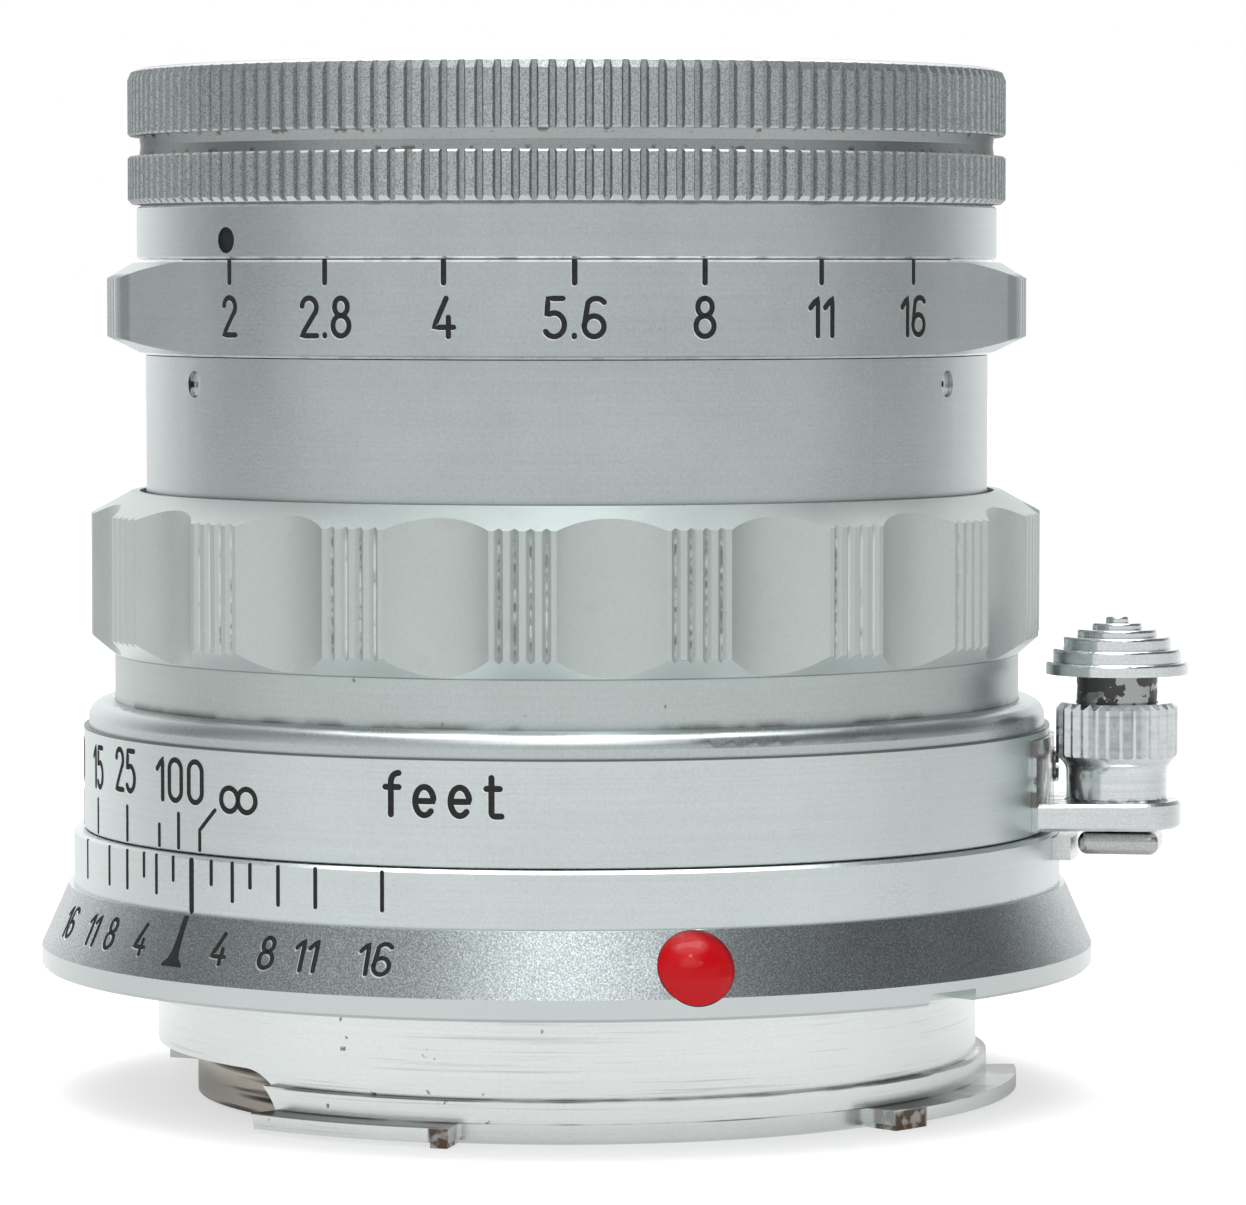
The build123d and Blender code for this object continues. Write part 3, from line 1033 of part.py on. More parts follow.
with BuildPart() as lens_element_2:
    element(SECOND_EDGE, (second_front, SECOND_FRONT_CURVE), (second_rear, SECOND_REAR_CURVE))
save(lens_element_2, "lens_element_2")

with BuildPart() as lens_element_3:
    element(THIRD_EDGE, (third_front, THIRD_FRONT_CURVE), (third_rear, THIRD_REAR_CURVE),
            rear_opening=THIRD_OPENING)
save(lens_element_3, "lens_element_3")

FRONT_SPACER_BORE = SECOND_EDGE - SPACER_WALL

with BuildPart() as front_spacer:
    tube(SECOND_EDGE, FRONT_SPACER_BORE, second_front - sag(SECOND_FRONT_CURVE, FRONT_SPACER_BORE) + SEAT,
         first_seat)
save(front_spacer, "front_spacer")

# Rear group, from the iris to the rear
REAR_EDGE = 10.20
FOURTH_OPENING = 9.40
FOURTH_FRONT_CURVE, CEMENT_CURVE, FIFTH_REAR_CURVE = -15.20, 40.0, -19.0
SIXTH_FRONT_CURVE, SIXTH_REAR_CURVE = 80.0, -30.0
SEVENTH_FRONT_CURVE, SEVENTH_REAR_CURVE = 28.0, -90.0
FOURTH_THICKNESS, FIFTH_THICKNESS, SIXTH_THICKNESS, SEVENTH_THICKNESS = 1.40, 4.80, 3.00, 3.20
REAR_SPACE = 0.40
REAR_LIP = 0.30
REAR_LIP_GAP = 0.20
BAFFLE_RISE = 0.90
BAFFLE_THICKNESS = 0.80
REAR_NOSE_WALL = 1.75
NOSE_CHAMFER = 0.35
REAR_RETAINER_HEIGHT = 0.90
REAR_RETAINER_WALL = 0.90
REAR_RETAINER_INSET = 0.10
SPANNER_SLOT_WIDTH = 1.4
SPANNER_SLOT_DEPTH = 0.3
REAR_SPACER_WALL = 0.55

rear_cell_top = IRIS_FLOOR - RUNNING
fourth_rim = rear_cell_top - REAR_LIP
fourth_front = fourth_rim + sag(FOURTH_FRONT_CURVE, FOURTH_OPENING)
cement = fourth_front - FOURTH_THICKNESS
fifth_rear = cement - FIFTH_THICKNESS
sixth_front = fifth_rear - REAR_SPACE
sixth_rear = sixth_front - SIXTH_THICKNESS
seventh_front = sixth_rear - REAR_SPACE
seventh_rear = seventh_front - SEVENTH_THICKNESS
seventh_rim = seventh_rear - sag(SEVENTH_REAR_CURVE, REAR_EDGE)
BAFFLE_BOTTOM = CAM_FLANGE_TOP + BAFFLE_RISE
BAFFLE_TOP = BAFFLE_BOTTOM + BAFFLE_THICKNESS
REAR_RETAINER_BORE = REAR_EDGE - REAR_RETAINER_WALL
REAR_CELL_BOTTOM = seventh_rim - REAR_RETAINER_HEIGHT - REAR_RETAINER_INSET
REAR_NOSE_RADIUS = REAR_EDGE + REAR_NOSE_WALL

with BuildPart() as rear_cell:
    turned([
        (REAR_EDGE + SEAT, REAR_CELL_BOTTOM), (REAR_NOSE_RADIUS - NOSE_CHAMFER, REAR_CELL_BOTTOM),
        (REAR_NOSE_RADIUS, REAR_CELL_BOTTOM + NOSE_CHAMFER), (REAR_NOSE_RADIUS, BAFFLE_BOTTOM),
        (HEAD_BORE - SEAT, BAFFLE_BOTTOM), (HEAD_BORE - SEAT, BAFFLE_TOP), (REAR_CELL_RADIUS, BAFFLE_TOP),
        (REAR_CELL_RADIUS, rear_cell_top), (FOURTH_OPENING + REAR_LIP_GAP, rear_cell_top),
        (FOURTH_OPENING + REAR_LIP_GAP, fourth_rim + SEAT), (REAR_EDGE + SEAT, fourth_rim + SEAT),
    ])
save(rear_cell, "rear_cell")

with BuildPart() as lens_element_4:
    element(REAR_EDGE, (fourth_front, FOURTH_FRONT_CURVE), (cement, CEMENT_CURVE),
            front_opening=FOURTH_OPENING)
save(lens_element_4, "lens_element_4")

with BuildPart() as lens_element_5:
    element(REAR_EDGE, (cement, CEMENT_CURVE), (fifth_rear, FIFTH_REAR_CURVE))
save(lens_element_5, "lens_element_5")

with BuildPart() as lens_element_6:
    element(REAR_EDGE, (sixth_front, SIXTH_FRONT_CURVE), (sixth_rear, SIXTH_REAR_CURVE))
save(lens_element_6, "lens_element_6")

with BuildPart() as lens_element_7:
    element(REAR_EDGE, (seventh_front, SEVENTH_FRONT_CURVE), (seventh_rear, SEVENTH_REAR_CURVE))
save(lens_element_7, "lens_element_7")

REAR_SPACER_BORE = REAR_EDGE - REAR_SPACER_WALL

with BuildPart() as rear_spacers:
    tube(REAR_EDGE, REAR_SPACER_BORE, sixth_front - sag(SIXTH_FRONT_CURVE, REAR_SPACER_BORE) + SEAT,
         fifth_rear - sag(FIFTH_REAR_CURVE, REAR_SPACER_BORE) - SEAT)
    tube(REAR_EDGE, REAR_SPACER_BORE, seventh_front - sag(SEVENTH_FRONT_CURVE, REAR_SPACER_BORE) + SEAT,
         sixth_rear - sag(SIXTH_REAR_CURVE, REAR_SPACER_BORE) - SEAT)
save(rear_spacers, "rear_spacers")

with BuildPart() as rear_retainer:
    retainer_top = seventh_rear - sag(SEVENTH_REAR_CURVE, REAR_RETAINER_BORE) - SEAT
    tube(REAR_EDGE, REAR_RETAINER_BORE, retainer_top - REAR_RETAINER_HEIGHT, retainer_top)
    for slot_azimuth in evenly(2, 0):
        slot_plane = facing_out(slot_azimuth, REAR_EDGE + PAST, retainer_top - REAR_RETAINER_HEIGHT)
        block(slot_plane, SPANNER_SLOT_WIDTH, 2 * SPANNER_SLOT_DEPTH, REAR_RETAINER_WALL + 2 * PAST,
              Mode.SUBTRACT)
save(rear_retainer, "rear_retainer")

# ---------------------------------------------------------------------------------------------
# Aperture ring and iris: turn about the head
# ---------------------------------------------------------------------------------------------

wing_azimuths = [WING_AZIMUTH - 90, WING_AZIMUTH + 90]
WING_FACE_BOTTOM = APERTURE_BOTTOM + WING_BOTTOM
WING_FACE_TOP = WING_FACE_BOTTOM + WING_HEIGHT
APERTURE_BORE = HOUSING_BEARING_RADIUS + RUNNING
PIN_OUTER = APERTURE_RADIUS - APERTURE_PIN_INSET
wing_flank = WING_HALF_WIDTH + degrees(acos(APERTURE_RADIUS / WING_RADIUS))
serrations = int(2 * WING_HALF_WIDTH / SERRATION_PITCH) + 1

with BuildPart() as aperture_ring:
    with BuildSketch(Plane.XY.offset(APERTURE_BOTTOM)):
        Circle(APERTURE_RADIUS)
        for wing_azimuth in wing_azimuths:
            with BuildLine():
                wing_start = wing_azimuth - 90 - WING_HALF_WIDTH
                end_arc = CenterArc((0, 0), WING_RADIUS, wing_start, 2 * WING_HALF_WIDTH)
                Polyline(end_arc @ 0, spot(wing_azimuth - wing_flank, APERTURE_RADIUS)[:2], (0, 0),
                         spot(wing_azimuth + wing_flank, APERTURE_RADIUS)[:2], end_arc @ 1)
            make_face()
    extrude(amount=APERTURE_HEIGHT)
    turned([
        (APERTURE_BORE, APERTURE_BOTTOM), (APERTURE_RADIUS - APERTURE_BEVEL, APERTURE_BOTTOM),
        (WING_RADIUS, WING_FACE_BOTTOM), (WING_RADIUS, WING_FACE_TOP), (APERTURE_RADIUS, APERTURE_TOP),
        (APERTURE_BORE, APERTURE_TOP),
    ], Mode.INTERSECT)
    with BuildSketch(Plane.XY.offset(APERTURE_BOTTOM)):
        for wing_azimuth in wing_azimuths:
            for serration in range(serrations):
                groove_azimuth = wing_azimuth + (serration - (serrations - 1) / 2) * SERRATION_PITCH
                with Locations(spot(groove_azimuth, WING_RADIUS)[:2]):
                    Rectangle(SERRATION_CUT, SERRATION_CUT, rotation=groove_azimuth + 45)
    extrude(amount=APERTURE_HEIGHT, mode=Mode.SUBTRACT)
    for stop in range(STOP_COUNT + 1):
        detent = Plane(origin=spot(CLICK_AZIMUTH + stop * STOP_ANGLE, CLICK_CIRCLE, APERTURE_TOP))
        drill(detent, DETENT_RADIUS, DETENT_DEPTH)
    drill(facing_out(aperture_pin_azimuth, PIN_OUTER + SEAT, PIN_HEIGHT), APERTURE_PIN_RADIUS + SEAT,
          PIN_OUTER - HOUSING_BEARING_RADIUS + PAST)
save(aperture_ring, "aperture_ring")

CAM_RADIUS = HOUSING_BORE - RUNNING
CAM_BORE = CAM_RADIUS - CAM_RING_WALL
PLATE_BOTTOM = IRIS_FLOOR + CAM_PLATE_RISE
PLATE_TOP = PLATE_BOTTOM + CAM_PLATE_HEIGHT
PLATE_BORE = IRIS_OPEN_RADIUS + CAM_PLATE_LAP
CHANNEL_TOP = PLATE_BOTTOM + CHANNEL_DEPTH
DRIVE_PIN_CIRCLE = BLADE_PIVOT_CIRCLE + DRIVE_PIN_STEP
DRIVE_PIN_TOP = CHANNEL_TOP - BLADE_PIN_END

with BuildPart() as iris_cam_ring:
    turned([
        (PLATE_BORE, PLATE_BOTTOM), (CAM_RADIUS, PLATE_BOTTOM), (CAM_RADIUS, CAM_TOP),
        (CAM_BORE, CAM_TOP), (CAM_BORE, PLATE_TOP), (PLATE_BORE, PLATE_TOP),
    ])
    tube(CAM_RADIUS - CHANNEL_WALL, CHANNEL_BORE, PLATE_BOTTOM, CHANNEL_TOP, Mode.SUBTRACT)
    drill(facing_out(aperture_pin_azimuth, CAM_RADIUS + PAST, PIN_HEIGHT), APERTURE_PIN_RADIUS + SEAT,
          CAM_RING_WALL + 2 * PAST)
save(iris_cam_ring, "iris_cam_ring")

with BuildPart() as aperture_pin:
    drill(facing_out(aperture_pin_azimuth, PIN_OUTER, PIN_HEIGHT), APERTURE_PIN_RADIUS,
          PIN_OUTER - CAM_BORE - RUNNING, Mode.ADD)
save(aperture_pin, "aperture_pin")

for blade_number, blade_azimuth in enumerate(blade_azimuths):
    level = IRIS_FLOOR + BLADE_FLOOR_GAP + blade_number * BLADE_SPACING
    blade_top = level + BLADE_THICKNESS
    pivot = Plane(origin=spot(blade_azimuth, BLADE_PIVOT_CIRCLE, blade_top))
    drive = Plane(origin=spot(blade_azimuth + DRIVE_PIN_ANGLE, DRIVE_PIN_CIRCLE, DRIVE_PIN_TOP))
    arm_azimuth = blade_azimuth + BLADE_ARM_ANGLE / 2 - BLADE_ARM_LAP
    with BuildPart() as blade:
        sector(IRIS_OPEN_RADIUS + BLADE_ARM_WIDTH, IRIS_OPEN_RADIUS, arm_azimuth, BLADE_ARM_ANGLE, level,
               blade_top)
        sector(BLADE_PIVOT_CIRCLE + BLADE_EAR, IRIS_OPEN_RADIUS + BLADE_EAR,
               blade_azimuth + DRIVE_PIN_ANGLE / 2, DRIVE_PIN_ANGLE + BLADE_EAR_MARGIN, level, blade_top)
        drill(pivot, BLADE_PIN_RADIUS, blade_top - IRIS_FLOOR + BLADE_PIN_SEAT - BLADE_PIN_END, Mode.ADD)
        drill(drive, BLADE_PIN_RADIUS, DRIVE_PIN_TOP - level, Mode.ADD)
    save(blade, f"iris_blade_{blade_number + 1}")
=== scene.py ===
# %% [markdown]
# # A rangefinder lens on a pale table
#
# This lesson dresses a 50 mm lens: satin chrome rings with engraved and painted scales, a scalloped
# grip, a turned bayonet with years of wear, and a red bead that shows how the lens goes on.
#
# The shapes come finished from the construction model, in metres, with the lens axis along Z and
# the index line of the depth-of-field scale towards -Y. What is made here is what the eye judges:
# the finish of each surface, the scales, the light and the camera.

# %% Load the lens
from math import atan2, cos, degrees, hypot, pi, radians, sin, tan

import bmesh
import bpy
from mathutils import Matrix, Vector


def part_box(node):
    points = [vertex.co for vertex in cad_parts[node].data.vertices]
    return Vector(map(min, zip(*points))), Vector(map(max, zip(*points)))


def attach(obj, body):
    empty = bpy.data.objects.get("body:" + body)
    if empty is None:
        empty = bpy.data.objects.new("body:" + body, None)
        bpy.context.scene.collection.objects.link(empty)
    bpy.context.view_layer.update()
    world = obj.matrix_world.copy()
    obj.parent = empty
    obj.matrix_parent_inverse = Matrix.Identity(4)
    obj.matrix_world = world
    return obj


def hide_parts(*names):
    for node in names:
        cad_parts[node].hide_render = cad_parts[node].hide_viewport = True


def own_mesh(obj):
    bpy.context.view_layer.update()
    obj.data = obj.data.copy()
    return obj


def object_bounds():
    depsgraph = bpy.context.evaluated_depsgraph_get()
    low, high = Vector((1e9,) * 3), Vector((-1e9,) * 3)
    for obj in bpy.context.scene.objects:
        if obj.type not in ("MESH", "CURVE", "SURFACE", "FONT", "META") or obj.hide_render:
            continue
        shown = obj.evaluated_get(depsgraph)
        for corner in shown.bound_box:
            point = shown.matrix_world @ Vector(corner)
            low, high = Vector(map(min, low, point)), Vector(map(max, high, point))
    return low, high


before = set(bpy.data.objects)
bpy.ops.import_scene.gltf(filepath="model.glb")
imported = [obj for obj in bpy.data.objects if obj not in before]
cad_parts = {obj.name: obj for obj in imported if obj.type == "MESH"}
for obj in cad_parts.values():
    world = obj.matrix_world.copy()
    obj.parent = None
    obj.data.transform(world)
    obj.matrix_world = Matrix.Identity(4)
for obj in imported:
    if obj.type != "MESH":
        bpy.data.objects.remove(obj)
lens_box = [[float(value) for value in corner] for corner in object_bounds()]
MM = 0.001
print("the lens has", len(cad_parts), "pieces, from", lens_box[0][2], "to", lens_box[1][2])


# %% [markdown]
# ## Reading the rings
#
# A lens is a stack of rings, so nearly every size that the scales need is a height or a radius of
# one ring. Reading them from the model, and not typing them again, keeps the numerals on their
# rings if a ring ever changes. Everything below works in millimetres, and turns into metres only
# where a mesh or a lamp is made.

# %% Heights and radii of the rings
def bottom(ring):
    """Height of a ring's lower face, in millimetres."""
    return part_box(ring)[0].z / MM


def top(ring):
    """Height of a ring's upper face, in millimetres."""
    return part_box(ring)[1].z / MM


def reach(ring):
    """Largest radius of a ring, in millimetres."""
    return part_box(ring)[1].x / MM


print("the depth scale ring is", round(reach("depth_scale_ring"), 2), "mm in radius")


# %% [markdown]
# ## Shader sums as plain expressions
#
# A procedural finish is arithmetic: so much grain, plus so much lathe line, times the wear. Written
# as nodes that arithmetic is hard to read. The class below wraps a node's output, so that
# `grain * 0.4 + lines` adds the Math nodes by itself. Vectors use Vector Math, since a Math node
# would turn them into one grey number.

# %% A socket that can be added and multiplied
class Channel:
    """An output socket of a finish, for use in expressions."""

    def __init__(self, finish, socket):
        self.finish = finish
        self.socket = socket

    def join(self, operation, first, second=0.0):
        kind = "ShaderNodeMath" if self.socket.type == "VALUE" else "ShaderNodeVectorMath"
        return self.finish.node(kind, {0: first, 1: second}, operation=operation)

    def __add__(self, other):
        return self.join("ADD", self, other)

    def __radd__(self, other):
        return self.join("ADD", other, self)

    def __sub__(self, other):
        return self.join("SUBTRACT", self, other)

    def __rsub__(self, other):
        return self.join("SUBTRACT", other, self)

    def __mul__(self, other):
        return self.join("MULTIPLY", self, other)


# %% A finish, and the few nodes that all finishes share
class Finish:
    """A material with one shader. Constants are set on the shader's own sockets."""

    def __init__(self, name, **constants):
        self.material = bpy.data.materials.new(name)
        self.material.use_nodes = True
        self.tree = self.material.node_tree
        self.shader = self.tree.nodes["Principled BSDF"]
        for socket, value in constants.items():
            self.shader.inputs[socket.replace("_", " ")].default_value = value

    def node(self, kind, sockets=None, out=0, stops=None, **settings):
        """Add a node: its settings, then the values or channels of its inputs. Gives one output."""
        made = self.tree.nodes.new(kind)
        for setting, value in settings.items():
            setattr(made, setting, value)
        if stops:
            for index, (place, colour) in enumerate(stops):
                elements = made.color_ramp.elements
                element = elements[index] if index < len(elements) else elements.new(place)
                element.position = place
                element.color = (*colour, 1)
        for socket, value in (sockets or {}).items():
            if isinstance(value, Channel):
                self.tree.links.new(value.socket, made.inputs[socket])
            elif isinstance(value, tuple) and made.inputs[socket].type == "RGBA":
                made.inputs[socket].default_value = (*value, 1)
            else:
                made.inputs[socket].default_value = value
        return Channel(self, made.outputs[out])

    def feed(self, socket, channel):
        """Let a channel decide one of the shader's inputs."""
        self.tree.links.new(channel.socket, self.shader.inputs[socket])

    def place(self):
        """The point on the piece, in millimetres from the middle of the lens mount."""
        found = self.node("ShaderNodeTexCoord", out="Object")
        return self.node("ShaderNodeVectorMath", {0: found, "Scale": 1 / MM}, operation="SCALE")

    def noise(self, place, fineness, detail=2.0, stretch=(1, 1, 1)):
        """Smooth noise about 0.5, with a number of grains to the millimetre."""
        sockets = {"Vector": place * stretch, "Scale": fineness, "Detail": detail}
        return self.node("ShaderNodeTexNoise", sockets)

    def ramp(self, channel, low, high, start=0.0, end=1.0):
        """A smooth step: start below low, end above high."""
        values = {"Value": channel, "From Min": low, "From Max": high, "To Min": start, "To Max": end}
        return self.node("ShaderNodeMapRange", values, interpolation_type="SMOOTHSTEP")

    def between(self, channel, low, high, soft):
        """A mask that is 1 between two values, with soft edges."""
        above = self.ramp(channel, low - soft, low + soft)
        return above * self.ramp(channel, high - soft, high + soft, 1, 0)

    def blend(self, mask, under, over):
        """One colour laid over another where the mask is 1."""
        return self.node("ShaderNodeMix", {0: mask, 6: under, 7: over}, out=2, data_type="RGBA")

    def layers(self, colour, *coats):
        """Tones laid over a colour one by one. Each coat is a mask and a tone."""
        for mask, tone in coats:
            colour = self.blend(mask, colour, tone)
        return colour

    def relief(self, height, depth):
        """Fine relief from a height channel, depth millimetres deep."""
        bump = self.node("ShaderNodeBump", {"Height": height, "Distance": depth * MM, "Strength": 1.0})
        self.feed("Normal", bump)


def wear(finish, *pieces):
    """Put a finish on pieces of the lens, or on objects made here."""
    for piece in pieces:
        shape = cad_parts[piece].data if isinstance(piece, str) else piece.data
        shape.materials.clear()
        shape.materials.append(finish.material)
    print(finish.material.name, "on", len(pieces), "pieces")


# %% [markdown]
# ## Satin chrome
#
# The rings are brass, turned on a lathe, blasted to a fine grain and then plated. So the finish has
# three scales: a sandy grain about a tenth of a millimetre across, faint lathe lines that run round
# the ring and show only as slow streaks, and broad clouds where hands have polished the grain down.
# The grain goes into the relief, which makes the metal twinkle, and only a little into the colour.

# %% The plated metal that most rings share
CHROME_SHADE = (0.375, 0.412, 0.414)
CHROME_LIGHT = (0.57, 0.618, 0.621)


def satin(name, roughness=0.36, shade=CHROME_SHADE, light=CHROME_LIGHT, grain=0.006, lines=0.3,
          level=0.55, edge=1.0):
    """Satin chrome. Gives the finish, the point on the piece and the colour, for variants."""
    metal = Finish(name, Metallic=1.0, Specular_Tint=(edge, edge, edge, 1.0))
    place = metal.place()
    sand = metal.noise(place, 8.0, 3.0)
    turned = metal.noise(place, 1.0, 2.0, (0.05, 0.05, 9.0))
    clouds = metal.noise(place, 0.22, 3.0)
    tone = level + (sand - 0.5) * 0.8 + (turned - 0.5) * lines + (clouds - 0.5) * 0.5
    metal.feed("Roughness", roughness + (clouds - 0.5) * 0.10 + (sand - 0.5) * 0.10)
    metal.relief(sand + turned * lines, grain)
    return metal, place, metal.blend(tone, shade, light)


def finished(name, *pieces, **settings):
    """Satin chrome with nothing added, put straight on its pieces."""
    metal, _, colour = satin(name, **settings)
    metal.feed("Base Color", colour)
    wear(metal, *pieces)


finished("satin chrome, barrel", "barrel", roughness=0.32, level=0.60)
finished("polished chrome, clamp ring", "clamp_ring", roughness=0.30, grain=0.001, level=0.75)


# %% [markdown]
# ## Grime
#
# Old grease turns brown and stays wherever a cloth can't reach: in the roots of the knurling and
# in the turned groove of the front ring, where painted shade darkens them too, and in the cut grooves
# of the grip. Radius tells those places apart from the crests, because every recess lies nearer the
# axis than the face it is cut into. A patchy noise then decides which of them are really dirty.

# %% Radius and bearing of a point on a ring
GRIME = (0.055, 0.035, 0.020)


def radius_of(finish, place):
    """Distance of a point from the lens axis, in millimetres."""
    flat = place * (1, 1, 0)
    return finish.node("ShaderNodeVectorMath", {0: flat}, out="Value", operation="LENGTH")


def height_of(finish, place):
    """Height of a point above the flange, in millimetres."""
    return finish.node("ShaderNodeSeparateXYZ", {0: place}, out="Z")


def azimuth_of(finish, place):
    """Bearing of a point in degrees from -Y, growing anticlockwise as seen from the front."""
    parts = finish.node("ShaderNodeSeparateXYZ", {0: place})
    across, along = (Channel(finish, parts.socket.node.outputs[axis]) for axis in "XY")
    turn = finish.node("ShaderNodeMath", {0: across, 1: along * -1.0}, operation="ARCTAN2")
    return turn * (180 / pi)


# %% [markdown]
# Two more masks serve many pieces. A painted highlight runs along the edges of a ring, where
# its bevels catch the light, and height alone finds those. Faces that look up or down mirror another
# part of the room than the side of the ring does, so the tilt of a face says where a bevel needs its own
# painted light and shade.

# %% Painted highlight along edges, and tilted faces
# The colour of the painted highlight on edges and bevels.
EDGE_HIGHLIGHT = (0.93, 0.95, 0.96)


def rims(finish, place, ring, width=0.10):
    """A mask along the two edges of a ring, where a highlight is painted."""
    height = height_of(finish, place)
    inside = finish.between(height, bottom(ring) + width, top(ring) - width, width / 3)
    # A noise breaks the painted highlight into patches.
    uneven = finish.ramp(finish.noise(place, 1.2, 3.0), 0.30, 0.55, 0.45, 1.0)
    return (1.0 - inside) * uneven


def tilt_of(finish):
    """How far a face looks up: 1 straight up, 0 sideways, -1 straight down."""
    normal = finish.node("ShaderNodeTexCoord", out="Normal")
    return finish.node("ShaderNodeSeparateXYZ", {0: normal}, out="Z")


# %% [markdown]
# ## The knurled front ring
#
# This ring has straight knurling in two bands, with a smooth turned groove between them. The lands
# keep a rough, speckled skin, and a grey film with painted shade lies in the roots of the knurling.
# The turned groove is painted darker as shade, and the sloping ends of the lands get a painted
# highlight. The grooves are shapes of the model, so only their tones are made here, and radius,
# height and tilt tell the places apart.

# %% Where the film and painted shade, the specks, the dirt and the painted highlight lie
KNURL_DEPTH = 0.20
KNURL_EDGE = (0.55, 0.40)
TURNED_GROOVE = (2.38, 3.34)
GROOVE_LIP = 0.16

knurled, place, colour = satin("knurled chrome", roughness=0.42, grain=0.008, level=0.66, edge=0.25)
radius = radius_of(knurled, place)
height = height_of(knurled, place)
tilt = tilt_of(knurled)
crest = reach("front_ring")
groove_foot, groove_head = (bottom("front_ring") + rise for rise in TURNED_GROOVE)
turned_groove = knurled.between(height, groove_foot, groove_head, 0.03)
groove_floor = knurled.between(height, groove_foot + GROOVE_LIP, groove_head - GROOVE_LIP, 0.10)
elsewhere = 1.0 - turned_groove

sunk = knurled.ramp(radius, crest - KNURL_DEPTH, crest - 0.3 * KNURL_DEPTH, 1, 0)
patchy = knurled.noise(place, 9.0, 2.0, (1, 1, 0.6))
# A grey film in the roots of the knurling, with painted shade.
film_and_shade = sunk * knurled.ramp(patchy, 0.36, 0.64, 0.40, 0.85) * elsewhere
speckle = knurled.ramp(knurled.noise(place, 13.0, 2.0), 0.40, 0.66) * elsewhere
lip_dirt = (turned_groove - groove_floor) * knurled.ramp(knurled.noise(place, 1.6, 4.0), 0.56, 0.64)
floor_dirt = turned_groove * knurled.ramp(patchy, 0.66, 0.74)
on_knurl = knurled.ramp(radius, *(crest - inset for inset in KNURL_EDGE))
sloping = knurled.ramp(tilt, -0.75, -0.35, 1, 0) + knurled.ramp(tilt, 0.35, 0.75)
# Painted highlight on the faces at the ends of the lands that slope up or down.
highlit_ends = sloping * elsewhere * on_knurl

# %% The tones of the knurled ring
knurled.feed("Base Color", knurled.layers(
    colour,
    (speckle, (0.285, 0.31, 0.315)),
    (film_and_shade * 0.55, (0.20, 0.205, 0.207)),
    # Painted shade over the whole turned groove.
    (turned_groove * 0.45, (0.20, 0.205, 0.20)),
    (lip_dirt * 0.7 + floor_dirt * 0.3, GRIME),
    (highlit_ends * 0.75, EDGE_HIGHLIGHT)))
knurled.feed("Metallic", 1.0 - film_and_shade * 0.35)
knurled.feed("Roughness", 0.44 - turned_groove * 0.22)
wear(knurled, "front_ring")


# %% [markdown]
# ## Three satin rings
#
# The distance ring, the aperture ring and the index ring are plain satin chrome with one painted
# mark each. A fine dark line of painted shade lies in the seam under the clamp ring. The other two
# meet where the fingers work; their edges get a painted highlight, and the serrated faces of the wings
# are darker.

# %% Distance ring, aperture ring and index ring
PALE = {"shade": (0.47, 0.52, 0.515), "light": (0.68, 0.74, 0.735), "level": 0.78}
SEAM_SHADE = (0.06, 0.055, 0.05)
WING_FACE = (21.64, 21.90)

distance_chrome, place, colour = satin(
    "satin chrome, distance ring", roughness=0.35, lines=0.5, grain=0.004, **PALE)
ring_top = top("distance_ring")
# Painted shade: a fine dark line in the gap under the clamp ring.
seam = distance_chrome.ramp(height_of(distance_chrome, place), ring_top - 0.10, ring_top - 0.06)
distance_chrome.feed("Base Color", distance_chrome.blend(seam * 0.85, colour, SEAM_SHADE))
wear(distance_chrome, "distance_ring")

aperture_chrome, place, colour = satin("satin chrome, aperture ring", roughness=0.32, level=0.56)
# The serrated faces of the wings are darker, and a painted highlight runs along both edges.
serrated = aperture_chrome.between(radius_of(aperture_chrome, place), *WING_FACE, 0.05)
rim_highlight = rims(aperture_chrome, place, "aperture_ring")
aperture_chrome.feed("Base Color", aperture_chrome.layers(
    colour, (serrated * 0.35, (0.10, 0.10, 0.10)), (rim_highlight, EDGE_HIGHLIGHT)))
wear(aperture_chrome, "aperture_ring")

index_chrome, place, colour = satin("satin chrome, index ring", roughness=0.32, level=0.60)
# A painted highlight along both edges.
rim_highlight = rims(index_chrome, place, "index_ring")
index_chrome.feed("Base Color", index_chrome.blend(rim_highlight, colour, EDGE_HIGHLIGHT))
wear(index_chrome, "index_ring")


# %% [markdown]
# ## The plain band
#
# Between the grip and the clamp ring a plain band of the focusing sleeve shows. Old grease creeps
# out of the seam at its foot and catches dust, and a few brown spots sit higher up. A ramp of
# height times a patchy noise keeps the dirt at the foot and leaves parts of the seam clean.

# %% The band, with grime where it meets the clamp ring
band, place, colour = satin(
    "satin chrome, band", roughness=0.40, shade=(0.40, 0.445, 0.435), light=(0.59, 0.65, 0.64),
    level=0.66)
clamp_top = top("clamp_ring")
foot = band.ramp(height_of(band, place), clamp_top - 0.15, clamp_top + 0.45, 1, 0)
old_grease = band.ramp(band.noise(place, 0.28, 4.0), 0.47, 0.60, 0.05, 0.75)
spots = band.ramp(band.noise(place, 1.1, 1.0), 0.76, 0.79) * 0.6
band.feed("Base Color", band.blend(foot * old_grease + spots, colour, GRIME))
wear(band, "focus_sleeve")


# %% [markdown]
# ## The scalloped grip
#
# The grip is cut with eighteen hollows for the fingertips, and each land between two hollows has
# four fine grooves. It is blasted coarser than the other rings, which makes it paler and milkier.
# The grooves hold grime on some lands and stay clean on others. The bearing of a point says which
# land it is on, and a noise that only changes from land to land says how dirty that land is.

# %% Where the grooves of the grip are
BAYS = 18
FIRST_LAND = 1.2
GROOVE_PITCH = 1.8
GROOVE_SPREAD = 1.5 * GROOVE_PITCH
GROOVE_ENDS = (1.1, 1.4)

